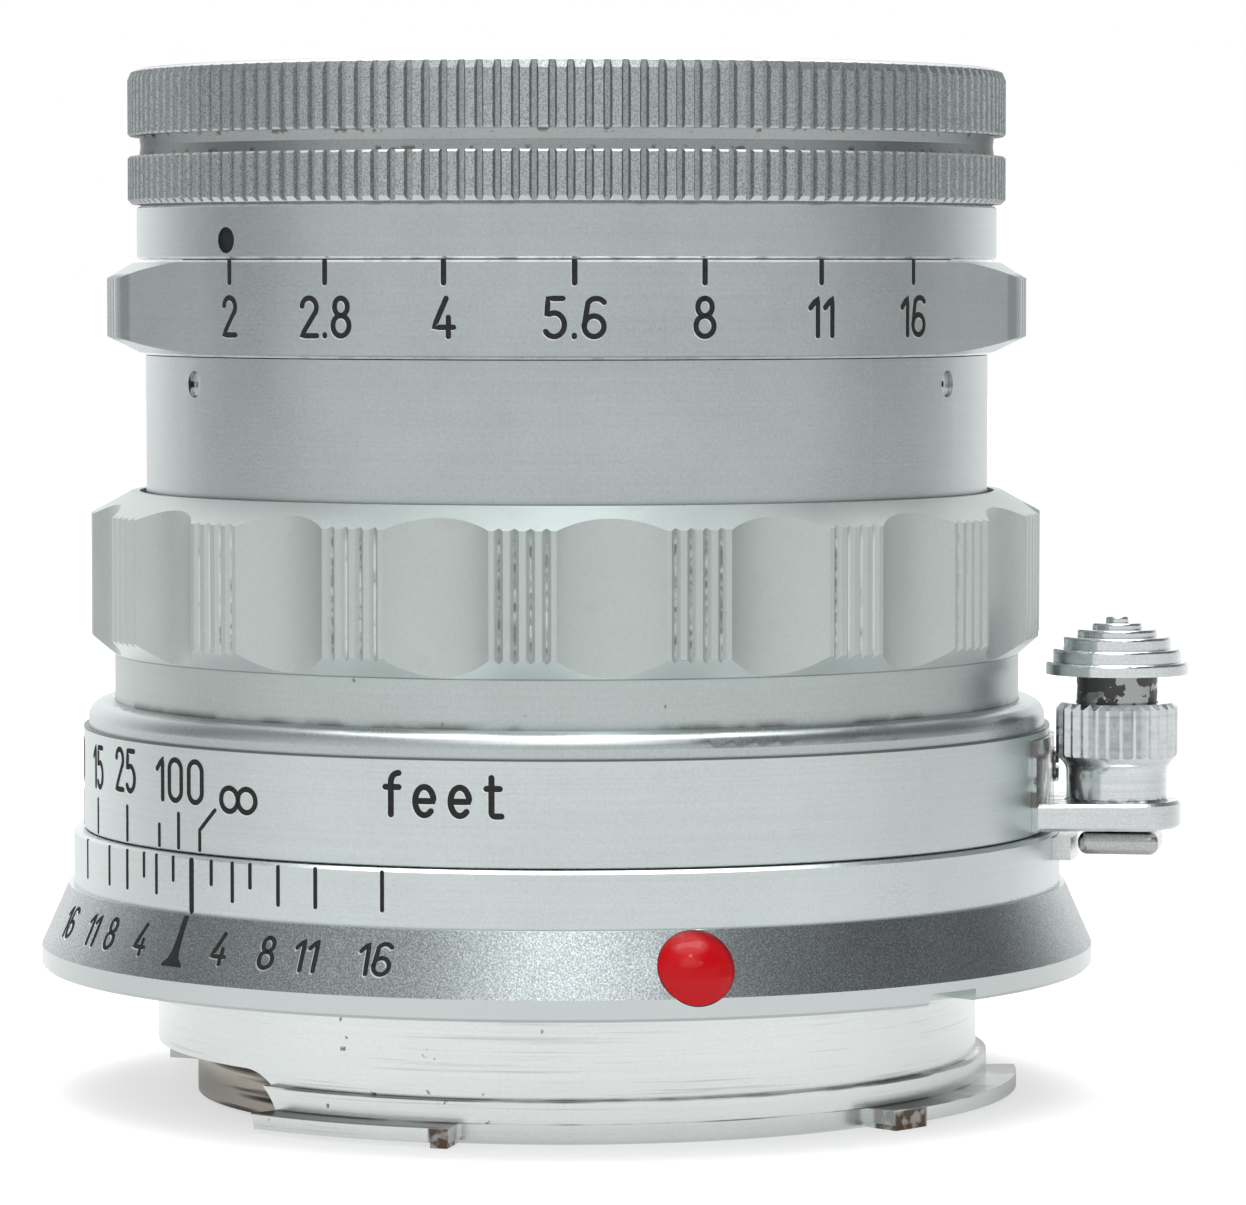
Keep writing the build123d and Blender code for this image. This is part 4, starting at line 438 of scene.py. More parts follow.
grip, place, colour = satin(
    "blasted chrome, grip", roughness=0.44, shade=(0.475, 0.52, 0.51), light=(0.61, 0.662, 0.65),
    lines=0.1)
radius = radius_of(grip, place)
height = height_of(grip, place)
azimuth = azimuth_of(grip, place)
grip_face, grip_foot, grip_head = reach("grip_ring"), bottom("grip_ring"), top("grip_ring")
bay = 360 / BAYS
sockets = {0: azimuth - FIRST_LAND, 1: bay / 2, 2: -bay / 2}
within = grip.node("ShaderNodeMath", sockets, operation="WRAP")
spread = grip.node("ShaderNodeMath", {0: within}, operation="ABSOLUTE")
on_land = grip.ramp(spread, GROOVE_SPREAD + 0.35, GROOVE_SPREAD + 0.8, 1, 0)
sunk = grip.ramp(radius, grip_face - 0.13, grip_face - 0.02, 1, 0)
straight = grip.between(height, grip_foot + GROOVE_ENDS[0], grip_head - GROOVE_ENDS[1], 0.3)
groove = on_land * sunk * straight
print("the grip has a land every", bay, "degrees")

# %% The dirt in the grooves, and the tones of the grip
first_groove = grip.ramp(within, -1.25 * GROOVE_PITCH, -GROOVE_PITCH, 0.16, 0)
which_groove = grip.noise(place, 0.55, 0.0, (1, 1, 0.12))
streaks = grip.noise(place, 1.6, 3.0, (1, 1, 0.55))
crumbs = grip.ramp(grip.noise(place, 2.4, 2.0), 0.36, 0.64, 0.20, 1.0)
dirtiness = which_groove * 0.62 + streaks * 0.38 + first_groove
dirt = groove * crumbs * grip.ramp(dirtiness, 0.46, 0.58, 0.04, 0.80)
smears = grip.ramp(grip.noise(place, 0.45, 4.0), 0.58, 0.75) * 0.10
# Faces that look down get a painted highlight.
downward_highlight = grip.ramp(tilt_of(grip), -0.5, -0.3, 1, 0)
seam = grip.ramp(height, grip_foot + 0.04, grip_foot + 0.09, 1, 0)
grip.feed("Base Color", grip.layers(
    colour,
    (smears, (0.30, 0.285, 0.26)),
    (downward_highlight * 0.8, (0.90, 0.95, 0.94)),
    # Painted light: the grooves are paler, against their shade.
    (groove * 0.8, (0.84, 0.87, 0.86)),
    (seam * 0.6, (0.20, 0.17, 0.15)),
    (dirt, GRIME)))
grip.feed("Metallic", 1.0 - groove * 0.55 - dirt * 0.4)
wear(grip, "grip_ring")


# %% [markdown]
# ## The depth scale ring
#
# One ring, two looks. Its upper step is the same satin chrome as the distance ring. The cone below
# it leans back, so it mirrors the dim part of the room above the viewer and looks nearly black.
# Its skin is finer than the sand of the other rings and twinkles in single grains, so here a fine
# noise goes into the colour.

# %% The stepped ring with the dark cone
CONE_TOP = 3.93
CONE_FOOT = 1.00
CONE_INSET = 1.30
STEP_INSET = 0.25
FLANGE_RADIUS = reach("bayonet_ring")
STEP_RADIUS = FLANGE_RADIUS - CONE_INSET - STEP_INSET
CONE_LEAN = degrees(atan2(CONE_INSET, CONE_TOP - CONE_FOOT))

depth_ring, place, colour = satin("satin chrome, depth scale", roughness=0.30, **PALE)
cone = depth_ring.ramp(height_of(depth_ring, place), CONE_TOP - 0.03, CONE_TOP + 0.01, 1, 0)
grains = depth_ring.ramp(depth_ring.noise(place, 13.0, 3.0), 0.36, 0.72)
pearl = depth_ring.blend(grains, (0.27, 0.30, 0.305), (0.56, 0.61, 0.62))
depth_ring.feed("Base Color", depth_ring.blend(cone, colour, pearl))
wear(depth_ring, "depth_scale_ring")
print("the cone leans", round(CONE_LEAN, 1), "degrees")


# %% [markdown]
# ## The bayonet
#
# This is the part that works hardest: it has been twisted into cameras for decades. The chrome is
# turned smooth, so fine lines run all the way round. Along the edges and on the lugs the plating
# is rubbed through to the brass, and there brown grease has settled in the corners. Dark lines of
# grease and painted shade lie in the seams between the steps, and the tops of the lugs get painted
# shade.

# %% Where the bayonet is worn and dirty, and where shade is painted
SEAMS = [(-4.26, -4.17), (-5.30, -5.20)]
STOP_BLOCK = (90.0, 96.0)
STOP_TAB = (29.4, 32.0)
PITTED = (8.0, 44.0)

bayonet, place, colour = satin(
    "turned chrome, bayonet", roughness=0.24, shade=(0.66, 0.70, 0.69), light=(0.84, 0.88, 0.87),
    grain=0.002, lines=0.5, level=0.62)
radius = radius_of(bayonet, place)
height = height_of(bayonet, place)
azimuth = azimuth_of(bayonet, place)
scratches = bayonet.noise(place, 1.0, 4.0, (0.09, 0.09, 6.0))
patches = bayonet.noise(place, 0.16, 3.0)
pits = bayonet.noise(place, 1.3, 3.0)
below_flange = bayonet.ramp(height, -0.5, -0.3, 1, 0)
# Dark lines of grease and painted shade in the seams between the steps.
upper_seam, lower_seam = (bayonet.between(height, low, high, 0.03) for low, high in SEAMS)
seam = (upper_seam + lower_seam) * bayonet.ramp(patches, 0.40, 0.55, 0.10, 0.85)
lowest = bayonet.ramp(height, -5.35, -5.25, 1, 0)
stops = (bayonet.between(azimuth, *STOP_BLOCK, 0.4) * lowest
         + bayonet.between(azimuth, *STOP_TAB, 0.2) * lowest)
rust = stops * bayonet.ramp(radius, 20.2, 20.5) * bayonet.ramp(pits, 0.38, 0.50, 0.55, 1.0)
pit = bayonet.between(azimuth, *PITTED, 4.0) * below_flange * bayonet.ramp(pits, 0.68, 0.72)
stains = bayonet.ramp(patches * 0.45 + scratches * 0.55, 0.55, 0.63) * below_flange
# Painted shade on the tops of the lugs, which look up towards the flange.
lug_tops_shade = bayonet.ramp(tilt_of(bayonet), 0.5, 0.8) * bayonet.ramp(radius, 19.8, 20.0)
lug_tops_shade *= bayonet.ramp(height, -3.0, -2.6, 1, 0)

# %% The tones of the bayonet, and the plain catch beside it
bayonet.feed("Base Color", bayonet.layers(
    colour,
    (bayonet.ramp(height, -0.35, -0.15), (0.60, 0.64, 0.635)),
    (bayonet.ramp(scratches, 0.63, 0.71) * below_flange * 0.22, (0.34, 0.33, 0.31)),
    (stains * 0.22, (0.45, 0.36, 0.26)),
    (pit * 0.8 + rust, (0.105, 0.062, 0.036)),
    (lug_tops_shade * 0.75, (0.16, 0.165, 0.17)),
    (seam, (0.05, 0.045, 0.04))))
bayonet.feed("Metallic", 1.0 - seam * 0.6 - rust * 0.7)
wear(bayonet, "bayonet_ring")
finished("worn chrome, catch", "lock_catch", "mount_screws", roughness=0.26, level=0.9,
         light=(0.74, 0.76, 0.75))


# %% [markdown]
# ## The infinity lock
#
# The button is a stack of thin polished discs, and the post under it has a coarse toothed collar.
# The stem between them was painted black once. The paint has worn through in flakes, so bare metal
# shows in hard-edged islands.

# %% The lock button and its painted stem
POLISHED = {"shade": (0.50, 0.53, 0.54), "light": (0.78, 0.81, 0.82)}
DISCS_HEIGHT = 2.72
STEM_PAINT = (0.050, 0.050, 0.050)

button, place, colour = satin(
    "polished chrome, lock button", roughness=0.13, grain=0.001, lines=0.6, **POLISHED)
stem_top = top("lock_button") - DISCS_HEIGHT
stem = button.ramp(height_of(button, place), stem_top - 0.03, stem_top, 1, 0)
unchipped = button.ramp(button.noise(place, 1.1, 5.0, (1, 1, 1.3)), 0.50, 0.51, 1, 0)
paint = stem * unchipped
button.feed("Base Color", button.layers(colour, (stem * 0.8, (0.30, 0.30, 0.30)), (paint, STEM_PAINT)))
button.feed("Metallic", 1.0 - paint)
button.feed("Roughness", 0.13 + paint * 0.25)
wear(button, "lock_button")

# %% [markdown]
# The post and its bracket are polished too, but no cloth gets between them and the distance ring.
# Grease has stayed at the foot of the post, and on the bracket it thins out away from the ring.

# %% The lock post, the bracket and the dark steel latch
POST_FOOT = 0.35
COLLAR = (2.6, 2.3)
BRACKET_FACE = (7.90, 8.02)

post, place, colour = satin(
    "polished chrome, lock post", roughness=0.17, grain=0.001, lines=0.8, **POLISHED)
height = height_of(post, place)
foot = post.ramp(height, bottom("lock_post"), bottom("lock_post") + POST_FOOT, 1, 0)
collar = post.ramp(height, *(top("lock_post") - drop for drop in COLLAR))
smudge = (foot + collar * 0.15) * post.ramp(post.noise(place, 2.0, 4.0), 0.46, 0.62)
post.feed("Base Color", post.blend(smudge * 0.6, colour, GRIME))
wear(post, "lock_post")

bracket, place, colour = satin("chrome, lock bracket", roughness=0.22, **POLISHED)
ring_side = reach("distance_ring")
inner_side = bracket.ramp(radius_of(bracket, place), ring_side - 0.2, ring_side + 2.4, 1, 0)
upper_side = bracket.ramp(height_of(bracket, place), *BRACKET_FACE)
patchy = bracket.ramp(bracket.noise(place, 1.2, 4.0), 0.42, 0.56)
grease = upper_side * (0.35 + inner_side * 0.65) * patchy
bracket.feed("Base Color", bracket.blend(grease * 0.8, colour, GRIME))
bracket.feed("Metallic", 1.0 - grease * 0.5)
wear(bracket, "lock_bracket", "bracket_screw")
finished("dark steel, lock tongue", "lock_tongue", "lock_rod", "lock_spring", roughness=0.16,
         shade=(0.30, 0.31, 0.31), light=(0.60, 0.61, 0.61))


# %% [markdown]
# A coil spring under the button pushes it back up. When the button goes down the coil gets shorter,
# so a copy of it, with a mesh of its own, rides with the focusing parts and stands in for the stiff one.

# %% The spring in the lock post
coil = bpy.data.objects.new("lock_spring_coil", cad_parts["lock_spring"].data.copy())
bpy.context.scene.collection.objects.link(coil)
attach(coil, "focus")
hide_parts("lock_spring")
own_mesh(coil)


# %% [markdown]
# ## Screws and pins
#
# The small set screws are plain steel. Their slots, and the ring-shaped gap round each one, are
# coloured near black.

# %% Set screws and hidden steel
SLOT_BLACK = (0.012, 0.010, 0.009)

screw_steel, place, colour = satin("steel, set screws", roughness=0.24, level=0.9)
barrel_face = reach("barrel")
sunk = screw_steel.ramp(radius_of(screw_steel, place), barrel_face - 0.46, barrel_face - 0.24, 1, 0)
# Near black in the slots and in the gap round each screw.
screw_steel.feed("Base Color", screw_steel.blend(sunk * 0.9, colour, SLOT_BLACK))
wear(screw_steel, "set_screws")
finished("steel, pins and balls", "focus_stop_pin", "click_ball", "click_spring", "key_screws",
         "aperture_pin", roughness=0.25, level=0.5)


# %% [markdown]
# ## Inside the lens
#
# Nothing inside may shine back into the picture, so cells, spacers and the ring round the front
# glass are anodised black. The sliding parts stay bare brass, because plating would wear to dust
# in the grease.

# %% Black anodising, blackened steel and brass
def plain(name, shade, light, pieces, **constants):
    """A finish of two close tones with a fine grain and a little relief."""
    skin = Finish(name, **constants)
    place = skin.place()
    sand = skin.noise(place, 6.0, 3.0)
    lines = skin.noise(place, 1.0, 2.0, (0.05, 0.05, 8.0))
    skin.feed("Base Color", skin.blend(sand * 0.5 + lines * 0.5, shade, light))
    skin.relief(sand * 0.6 + lines * 0.4, 0.004)
    wear(skin, *pieces)


blades = [f"iris_blade_{number}" for number in range(1, 11)]
cells = ["iris_housing", "iris_cam_ring", "front_cell", "front_spacer", "rear_cell", "rear_spacers",
         "rear_retainer", "name_ring"]
brasswork = ["guide_tube", "guide_keys", "focus_retainer", "head_helicoid"]
plain("black anodising", (0.010, 0.010, 0.011), (0.028, 0.028, 0.030), cells, Metallic=0.2,
      Roughness=0.48)
plain("blackened steel, iris", (0.030, 0.031, 0.035), (0.060, 0.061, 0.066), blades, Metallic=0.9,
      Roughness=0.38)
plain("bare brass", (0.42, 0.30, 0.13), (0.66, 0.52, 0.28), brasswork, Metallic=1.0, Roughness=0.30)

tarnished = Finish("tarnished brass, cam", Metallic=1.0, Roughness=0.20)
place = tarnished.place()
tarnish = tarnished.ramp(tarnished.noise(place, 1.0, 3.0, (0.06, 0.06, 1.5)), 0.44, 0.56)
tarnished.feed("Base Color", tarnished.blend(tarnish, (0.045, 0.032, 0.022), (0.46, 0.43, 0.38)))
wear(tarnished, "rangefinder_cam")


# %% [markdown]
# ## Glass and its coating
#
# Each element is dense optical glass with one thin coating. It takes away most of the reflection,
# and what is left is a blue or violet sheen. A dark tint of the reflection does both at once, and
# the body of the glass stays clear, so the blades of the iris show between the elements. The body
# colour wanders a little, as old coatings do.

# %% Coated glass
def coated(name, near, far, *elements):
    """Clear glass whose body colour drifts between two pale tints."""
    glass = Finish(name, Transmission_Weight=1.0, Roughness=0.02, IOR=1.62, Specular_IOR_Level=0.2,
                   Specular_Tint=(0.05, 0.043, 0.12, 1.0))
    place = glass.place()
    drift = glass.noise(place, 0.05, 1.0)
    glass.feed("Base Color", glass.blend(drift, near, far))
    wear(glass, *elements)


elements = [f"lens_element_{number}" for number in range(1, 8)]
coated("coated glass, front group", (0.86, 0.88, 0.97), (0.93, 0.90, 0.97), *elements[:3])
coated("coated glass, rear group", (0.90, 0.88, 0.96), (0.94, 0.93, 0.90), *elements[3:])


# %% [markdown]
# ## The red bead
#
# The bead is a drop of enamel in a drilled seat. You find it with a fingertip in the dark, so it
# stands proud. Its colour lies deep under a clear gloss, which a coat layer on the shader gives.
# Towards its rim the red is painted darker, as the shadow of its seat.

# %% Red enamel
enamel = Finish("red enamel, bead", Roughness=0.28, Coat_Weight=0.35, Coat_Roughness=0.08,
                Specular_IOR_Level=0.05)
place = enamel.place()
depth = enamel.noise(place, 0.8, 2.0)
rim_shadow_facing = enamel.node("ShaderNodeLayerWeight", {"Blend": 0.5}, out="Facing")
red = enamel.blend(depth, (0.40, 0.002, 0.005), (0.52, 0.004, 0.008))
# Painted shadow: the red goes darker towards the rim.
enamel.feed("Base Color", enamel.blend(enamel.ramp(rim_shadow_facing, 0.35, 0.85), red, (0.10, 0.0, 0.002)))
wear(enamel, "index_bead")


# %% [markdown]
# ## Engraving with a pantograph
#
# The numerals on such a lens are cut by a small round cutter that follows a template, and then
# filled with paint. That is why each stroke has one width and round ends. So the right way to make
# them is not a typeface but strokes: each numeral is a few lines and arcs, one unit high, and a
# ribbon of paint is laid along them on the ring's own surface.

# %% Strokes of the numerals
def arc(centre, size, start, end, step=12):
    """Points on an elliptical arc, from one angle to another in degrees."""
    count = max(2, round(abs(end - start) / step))
    turns = [radians(start + (end - start) * index / count) for index in range(count + 1)]
    return [(centre[0] + size[0] * cos(turn), centre[1] + size[1] * sin(turn)) for turn in turns]


def ring_shape(centre, size):
    """A closed round stroke."""
    return arc(centre, size, 90, 450)


NUMERALS = {
    "0": (0.50, [arc((0.25, 0.75), (0.25, 0.25), 0, 180) + arc((0.25, 0.25), (0.25, 0.25), 180, 360)
                 + [(0.50, 0.75)]]),
    "1": (0.24, [[(0.0, 0.74), (0.24, 1.0), (0.24, 0.0)]]),
    "2": (0.50, [arc((0.25, 0.75), (0.24, 0.25), 172, -38) + [(0.0, 0.0), (0.50, 0.0)]]),
    "3": (0.48, [arc((0.23, 0.77), (0.22, 0.23), 150, -75) + arc((0.23, 0.27), (0.26, 0.27), 75, -150)]),
    "4": (0.54, [[(0.34, 1.0), (0.0, 0.24), (0.54, 0.24)], [(0.40, 0.50), (0.40, 0.0)]]),
    "5": (0.50, [[(0.46, 1.0), (0.07, 1.0), (0.04, 0.57)] + arc((0.23, 0.31), (0.27, 0.31), 118, -145)]),
    "6": (0.52, [arc((0.32, 0.74), (0.26, 0.26), 38, 150) + [(0.0, 0.27)],
                 ring_shape((0.26, 0.27), (0.26, 0.27))]),
    "8": (0.50, [ring_shape((0.25, 0.77), (0.20, 0.23)), ring_shape((0.25, 0.27), (0.25, 0.27))]),
    ".": (0.04, [[(0.02, 0.0), (0.02, 0.03)]]),
    "∞": (2.00, [ring_shape((0.50, 0.5), (0.50, 0.50)), ring_shape((1.50, 0.5), (0.50, 0.50))]),
    "f": (0.34, [arc((0.34, 0.78), (0.20, 0.22), 90, 180) + [(0.14, 0.0)], [(0.0, 0.66), (0.34, 0.66)]]),
    "e": (0.46, [[(0.02, 0.34), (0.46, 0.34)] + arc((0.23, 0.34), (0.23, 0.34), 8, 315)]),
    "t": (0.34, [[(0.12, 0.92), (0.12, 0.10)] + arc((0.22, 0.10), (0.10, 0.10), 180, 270)
                 + [(0.36, 0.0)], [(0.0, 0.66), (0.32, 0.66)]]),
}
print("numerals and signs:", " ".join(NUMERALS))


# %% [markdown]
# ## Paint on a curved ring
#
# A stroke is drawn flat, in millimetres round the ring and along it. `Skin` bends it onto the ring:
# a distance round the ring becomes an angle, and a distance along it follows the cone's lean. The
# ribbon has a top face a hair above the metal and sides that go down into it, so it is a closed
# body with no stray edges.

# %% The skin of a ring, and a ribbon on it
PAINT_LIFT = 0.012
PAINT_DEPTH = 0.05
LONGEST_STEP = 0.25


class Skin:
    """The turned surface under the marks: its radius at one height, and how far it leans back."""

    def __init__(self, radius, height=0.0, lean=0.0):
        self.radius = radius
        self.height = height
        self.lean = radians(lean)

    def point(self, azimuth, height, across, along, lift):
        """The point reached from a spot on the ring by going round it, along it and off it."""
        level = height + along * cos(self.lean)
        radius = self.radius - (level - self.height) * tan(self.lean)
        turn = radians(azimuth) + across / radius
        away = radius + lift * cos(self.lean)
        return Vector((away * sin(turn), -away * cos(turn), level + lift * sin(self.lean))) * MM


def even_steps(points):
    """Divide the long steps of a stroke, so that it can bend round a ring."""
    steps = [points[0]]
    for (x0, y0), (x1, y1) in zip(points, points[1:]):
        count = max(1, int(hypot(x1 - x0, y1 - y0) / LONGEST_STEP) + 1)
        steps += [(x0 + (x1 - x0) * part / count, y0 + (y1 - y0) * part / count)
                  for part in range(1, count + 1)]
    return steps


def cross_sections(points, width):
    """Centre, sideways direction and half width at each step of a stroke, rounded off at both ends."""
    closed = points[0] == points[-1]
    sections = []
    for index, (x, y) in enumerate(points):
        before = points[index - 1] if index else (points[-2] if closed else points[0])
        after = points[index + 1] if index + 1 < len(points) else (points[1] if closed else points[-1])
        length = hypot(after[0] - before[0], after[1] - before[1]) or 1.0
        forward = ((after[0] - before[0]) / length, (after[1] - before[1]) / length)
        sections.append((x, y, forward, width / 2))
    if closed:
        return sections[:-1], True
    head, tail = sections[0], sections[-1]
    cap = [(sin(radians(angle)), cos(radians(angle))) for angle in (30, 60, 85)]

    def rounded(section, way, angles):
        """The narrowing sections of a round end, in front of a section or behind it."""
        x, y, (dx, dy), half = section
        return [(x + way * dx * out * half, y + way * dy * out * half, (dx, dy), side * half)
                for out, side in angles]

    return rounded(head, -1, reversed(cap)) + sections + rounded(tail, 1, cap), False


def stroke(shape, skin, azimuth, height, points, width, raised):
    """Lay one stroke on a ring, raised a hair above the metal."""
    sections, closed = cross_sections(even_steps(points), width)
    rows = []
    for x, y, (dx, dy), half in sections:
        row = []
        for side, lift in ((-1, raised), (1, raised), (1, -PAINT_DEPTH), (-1, -PAINT_DEPTH)):
            spot = skin.point(azimuth, height, x - dy * half * side, y + dx * half * side, lift)
            row.append(shape.verts.new(spot))
        rows.append(row)
    pairs = list(zip(rows, rows[1:])) + ([(rows[-1], rows[0])] if closed else [])
    for first, second in pairs:
        for corner in range(4):
            following = (corner + 1) % 4
            shape.faces.new((first[corner], first[following], second[following], second[corner]))
    if not closed:
        shape.faces.new(rows[0][::-1])
        shape.faces.new(rows[-1])


class Engraving:
    """Strokes on one body of the lens: the paint, and a painted highlight on the cut edge beside it."""

    def __init__(self, skin, edge=0.045):
        self.skin = skin
        self.edge = edge
        self.paint = bmesh.new()
        self.lit = bmesh.new()

    def cut(self, azimuth, height, points, width):
        """One stroke in paint, and the same stroke a hair down, aside and lower in bright metal, as a
        painted highlight.
        """
        stroke(self.paint, self.skin, azimuth, height, points, width, PAINT_LIFT)
        # The copy in bright metal is a painted highlight on the cut edge.
        moved = [(x - self.edge * 0.6, y - self.edge) for x, y in points]
        stroke(self.lit, self.skin, azimuth, height, moved, width, PAINT_LIFT / 2)

    def label(self, azimuth, height, text, size, width, gap=0.24, stretch=1.0):
        """Write a number centred on a spot of a ring. Size is the height of its centre lines."""
        room = sum(NUMERALS[sign][0] * stretch for sign in text) + gap * (len(text) - 1)
        left = -room / 2
        for sign in text:
            wide, strokes = NUMERALS[sign]
            for points in strokes:
                placed = [((left + x * stretch) * size, (y - 0.5) * size) for x, y in points]
                self.cut(azimuth, height, placed, width)
            left += wide * stretch + gap

    def tick(self, azimuth, low, high, width):
        """A straight mark along the ring, from one height to another."""
        along = (high - low) / cos(self.skin.lean)
        self.cut(azimuth, low, [(0, width / 2), (0, along - width / 2)], width)

    def finish(self, name, body):
        """Hand over the paint and its painted highlight as pieces that ride with their ring."""
        painted(name, self.paint, body, ink)
        painted(name + "_edge", self.lit, body, edge_highlight_metal)


def painted(name, shape, body, finish):
    """Turn strokes into a piece that rides with a body of the lens."""
    bmesh.ops.recalc_face_normals(shape, faces=shape.faces)
    mesh = bpy.data.meshes.new(name)
    shape.to_mesh(mesh)
    shape.free()
    piece = bpy.data.objects.new(name, mesh)
    bpy.context.scene.collection.objects.link(piece)
    mesh.materials.append(finish.material)
    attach(piece, body)
    print(name, "has", len(mesh.polygons), "faces")


# %% [markdown]
# The paint is matt, nearly black and a little chalky. Beside the lower lip of each stroke lies a
# ribbon of bright metal: a painted highlight on the cut edge, which glints beside the paint.

# %% Black paint, and the painted highlight on the cut edge
ink = Finish("black engraving paint", Roughness=0.7, Specular_IOR_Level=0.05)
place = ink.place()
chalky = ink.noise(place, 5.0, 3.0)
ink.feed("Base Color", ink.blend(chalky, (0.014, 0.015, 0.016), (0.038, 0.039, 0.040)))

edge_highlight_metal, _, colour = satin(
    "painted highlight, cut edge", roughness=0.30, shade=(0.70, 0.72, 0.72), light=(0.92, 0.94, 0.94))
edge_highlight_metal.feed("Base Color", colour)


# %% [markdown]
# ## The aperture scale
#
# The stops are spread evenly, because each one halves the area of the opening and the cam inside is
# cut so that every click turns the ring by the same angle. The tick hangs from the ring's upper
# edge, next to the black dot that reads it.

# %% Aperture numbers and their ticks
INDEX_AZIMUTH = -3.1
SCALE_START = INDEX_AZIMUTH + 0.75
STOP_ANGLE = 16.5
STOPS = ["2", "2.8", "4", "5.6", "8", "11", "16"]
APERTURE_STEP = 0.02
STOP_NUMBER = {"size": 1.70, "width": 0.25}
STOP_NUMBER_RISE = 1.88
STOP_TICK = (-1.16, 0.06)

aperture_scale = Engraving(Skin(reach("index_ring") + APERTURE_STEP))
for stop, number in enumerate(STOPS):
    azimuth = SCALE_START + stop * STOP_ANGLE
    aperture_scale.label(azimuth, bottom("aperture_ring") + STOP_NUMBER_RISE, number, **STOP_NUMBER)
    tick_foot, tick_head = (top("aperture_ring") + rise for rise in STOP_TICK)
    aperture_scale.tick(azimuth, tick_foot, tick_head, 0.26)
aperture_scale.finish("aperture_scale", "aperture")

# %% [markdown]
# The dot that reads the scale is a shallow drilled seat with paint at its bottom. A thin round
# wafer just above the seat's floor is all it needs.

# %% The index dot
DOT_RADIUS = 0.60
DOT_SIDES = 40
DOT_SINK = 0.19
DOT_DROP = 1.65

dot_skin = Skin(reach("index_ring") - DOT_SINK)
dot = bmesh.new()


def dot_rim(lift):
    """A ring of corners round the dot."""
    middle = top("index_ring") - DOT_DROP
    corners = []
    for step in range(DOT_SIDES):
        turn = 2 * pi * step / DOT_SIDES
        across, along = DOT_RADIUS * cos(turn), DOT_RADIUS * sin(turn)
        corners.append(dot.verts.new(dot_skin.point(INDEX_AZIMUTH, middle, across, along, lift)))
    return corners


face_rim, floor_rim = dot_rim(0), dot_rim(-PAINT_DEPTH)
dot.faces.new(face_rim)
dot.faces.new(floor_rim[::-1])
for step in range(DOT_SIDES):
    dot.faces.new((face_rim[step - 1], face_rim[step], floor_rim[step], floor_rim[step - 1]))
painted("index_dot", dot, "head", ink)


# %% [markdown]
# ## The distance scale
#
# Turning the ring by a given angle moves the glass by a given amount, and the distance in focus
# falls as one over that amount. So the marks crowd together towards infinity: the angle of a mark
# is a constant divided by its distance.

# %% Distances, their ticks and the infinity sign
FOCUS_CONSTANT = 385.0
DISTANCES = ["25", "15", "10", "8", "6", "5", "4", "3.5"]
NUMBER_HEIGHT = 9.88
NUMBER_SIZE = 1.86
NUMBER_STROKE = 0.25
TICK_STROKE = 0.20
LONG_TICK_TOP = 8.45
SHORT_TICK_TOP = 7.85
INFINITY_BEND = [(0, 0.1), (0, 1.0), (1.05, 1.98)]

distance_scale = Engraving(Skin(reach("distance_ring")))
edge = bottom("distance_ring") + 0.08
for distance in DISTANCES:
    azimuth = -FOCUS_CONSTANT / float(distance)
    aside, above = (-0.6, 0.14) if distance == "25" else (0, 0)
    distance_scale.label(azimuth + aside, NUMBER_HEIGHT + above, distance, NUMBER_SIZE, NUMBER_STROKE,
                         gap=0.22, stretch=0.90)
    distance_scale.tick(azimuth, edge, LONG_TICK_TOP, TICK_STROKE)
distance_scale.label(-FOCUS_CONSTANT / 100, NUMBER_HEIGHT, "100", NUMBER_SIZE, NUMBER_STROKE, gap=0.30)
distance_scale.tick(-FOCUS_CONSTANT / 100, edge, LONG_TICK_TOP, TICK_STROKE)
distance_scale.tick(-FOCUS_CONSTANT / 50, edge, SHORT_TICK_TOP, TICK_STROKE)
distance_scale.label(6.2, 9.22, "∞", 1.06, NUMBER_STROKE)
distance_scale.cut(0, edge, INFINITY_BEND, TICK_STROKE)
distance_scale.label(32.3, NUMBER_HEIGHT, "feet", NUMBER_SIZE, 0.28, gap=0.42)
distance_scale.finish("distance_scale", "focus")


# %% [markdown]
# ## The depth-of-field scale
#
# Each pair of marks shows how far the sharp zone spreads on both sides of the focused distance. The
# spread grows in step with the f-number, so one angle per stop gives every mark. Long marks have a
# number on the cone below, and short ones stand for the stops between.

# %% Depth marks, the index line and the cone's numbers
SPREAD = 1.613
LONG_MARKS = [4, 8, 11, 16]
SHORT_MARKS = [2, 5.6]
LONG_MARK = 1.90
SHORT_MARK = 1.22
CONE_NUMBER_HEIGHT = 2.60

step_scale = Engraving(Skin(STEP_RADIUS))
cone_skin = Skin(FLANGE_RADIUS, CONE_FOOT, CONE_LEAN)
cone_scale = Engraving(cone_skin, 0.075)
step_top = top("depth_scale_ring") - 0.08
for mark in LONG_MARKS + SHORT_MARKS:
    for side in (-1, 1):
        length = LONG_MARK if mark in LONG_MARKS else SHORT_MARK
        step_scale.tick(side * mark * SPREAD, step_top - length, step_top, 0.19)
        if mark in LONG_MARKS:
            cone_scale.label(side * mark * SPREAD, CONE_NUMBER_HEIGHT, str(mark), 1.42, 0.21)
step_scale.tick(0, CONE_TOP, step_top, 0.30)
step_scale.finish("depth_marks", "mount")
cone_scale.finish("depth_numbers", "mount")

# %% [markdown]
# The index line runs on down the cone and spreads into a foot with hollow sides, like the foot of a
# letter. Its outline is a list of half widths at several heights, mirrored left to right.

# %% The index foot
FOOT_HALF_WIDTHS = [(0.0, 0.68), (0.18, 0.62), (0.40, 0.36), (0.75, 0.22), (1.30, 0.17), (2.45, 0.15)]
INDEX_FOOT = 1.62

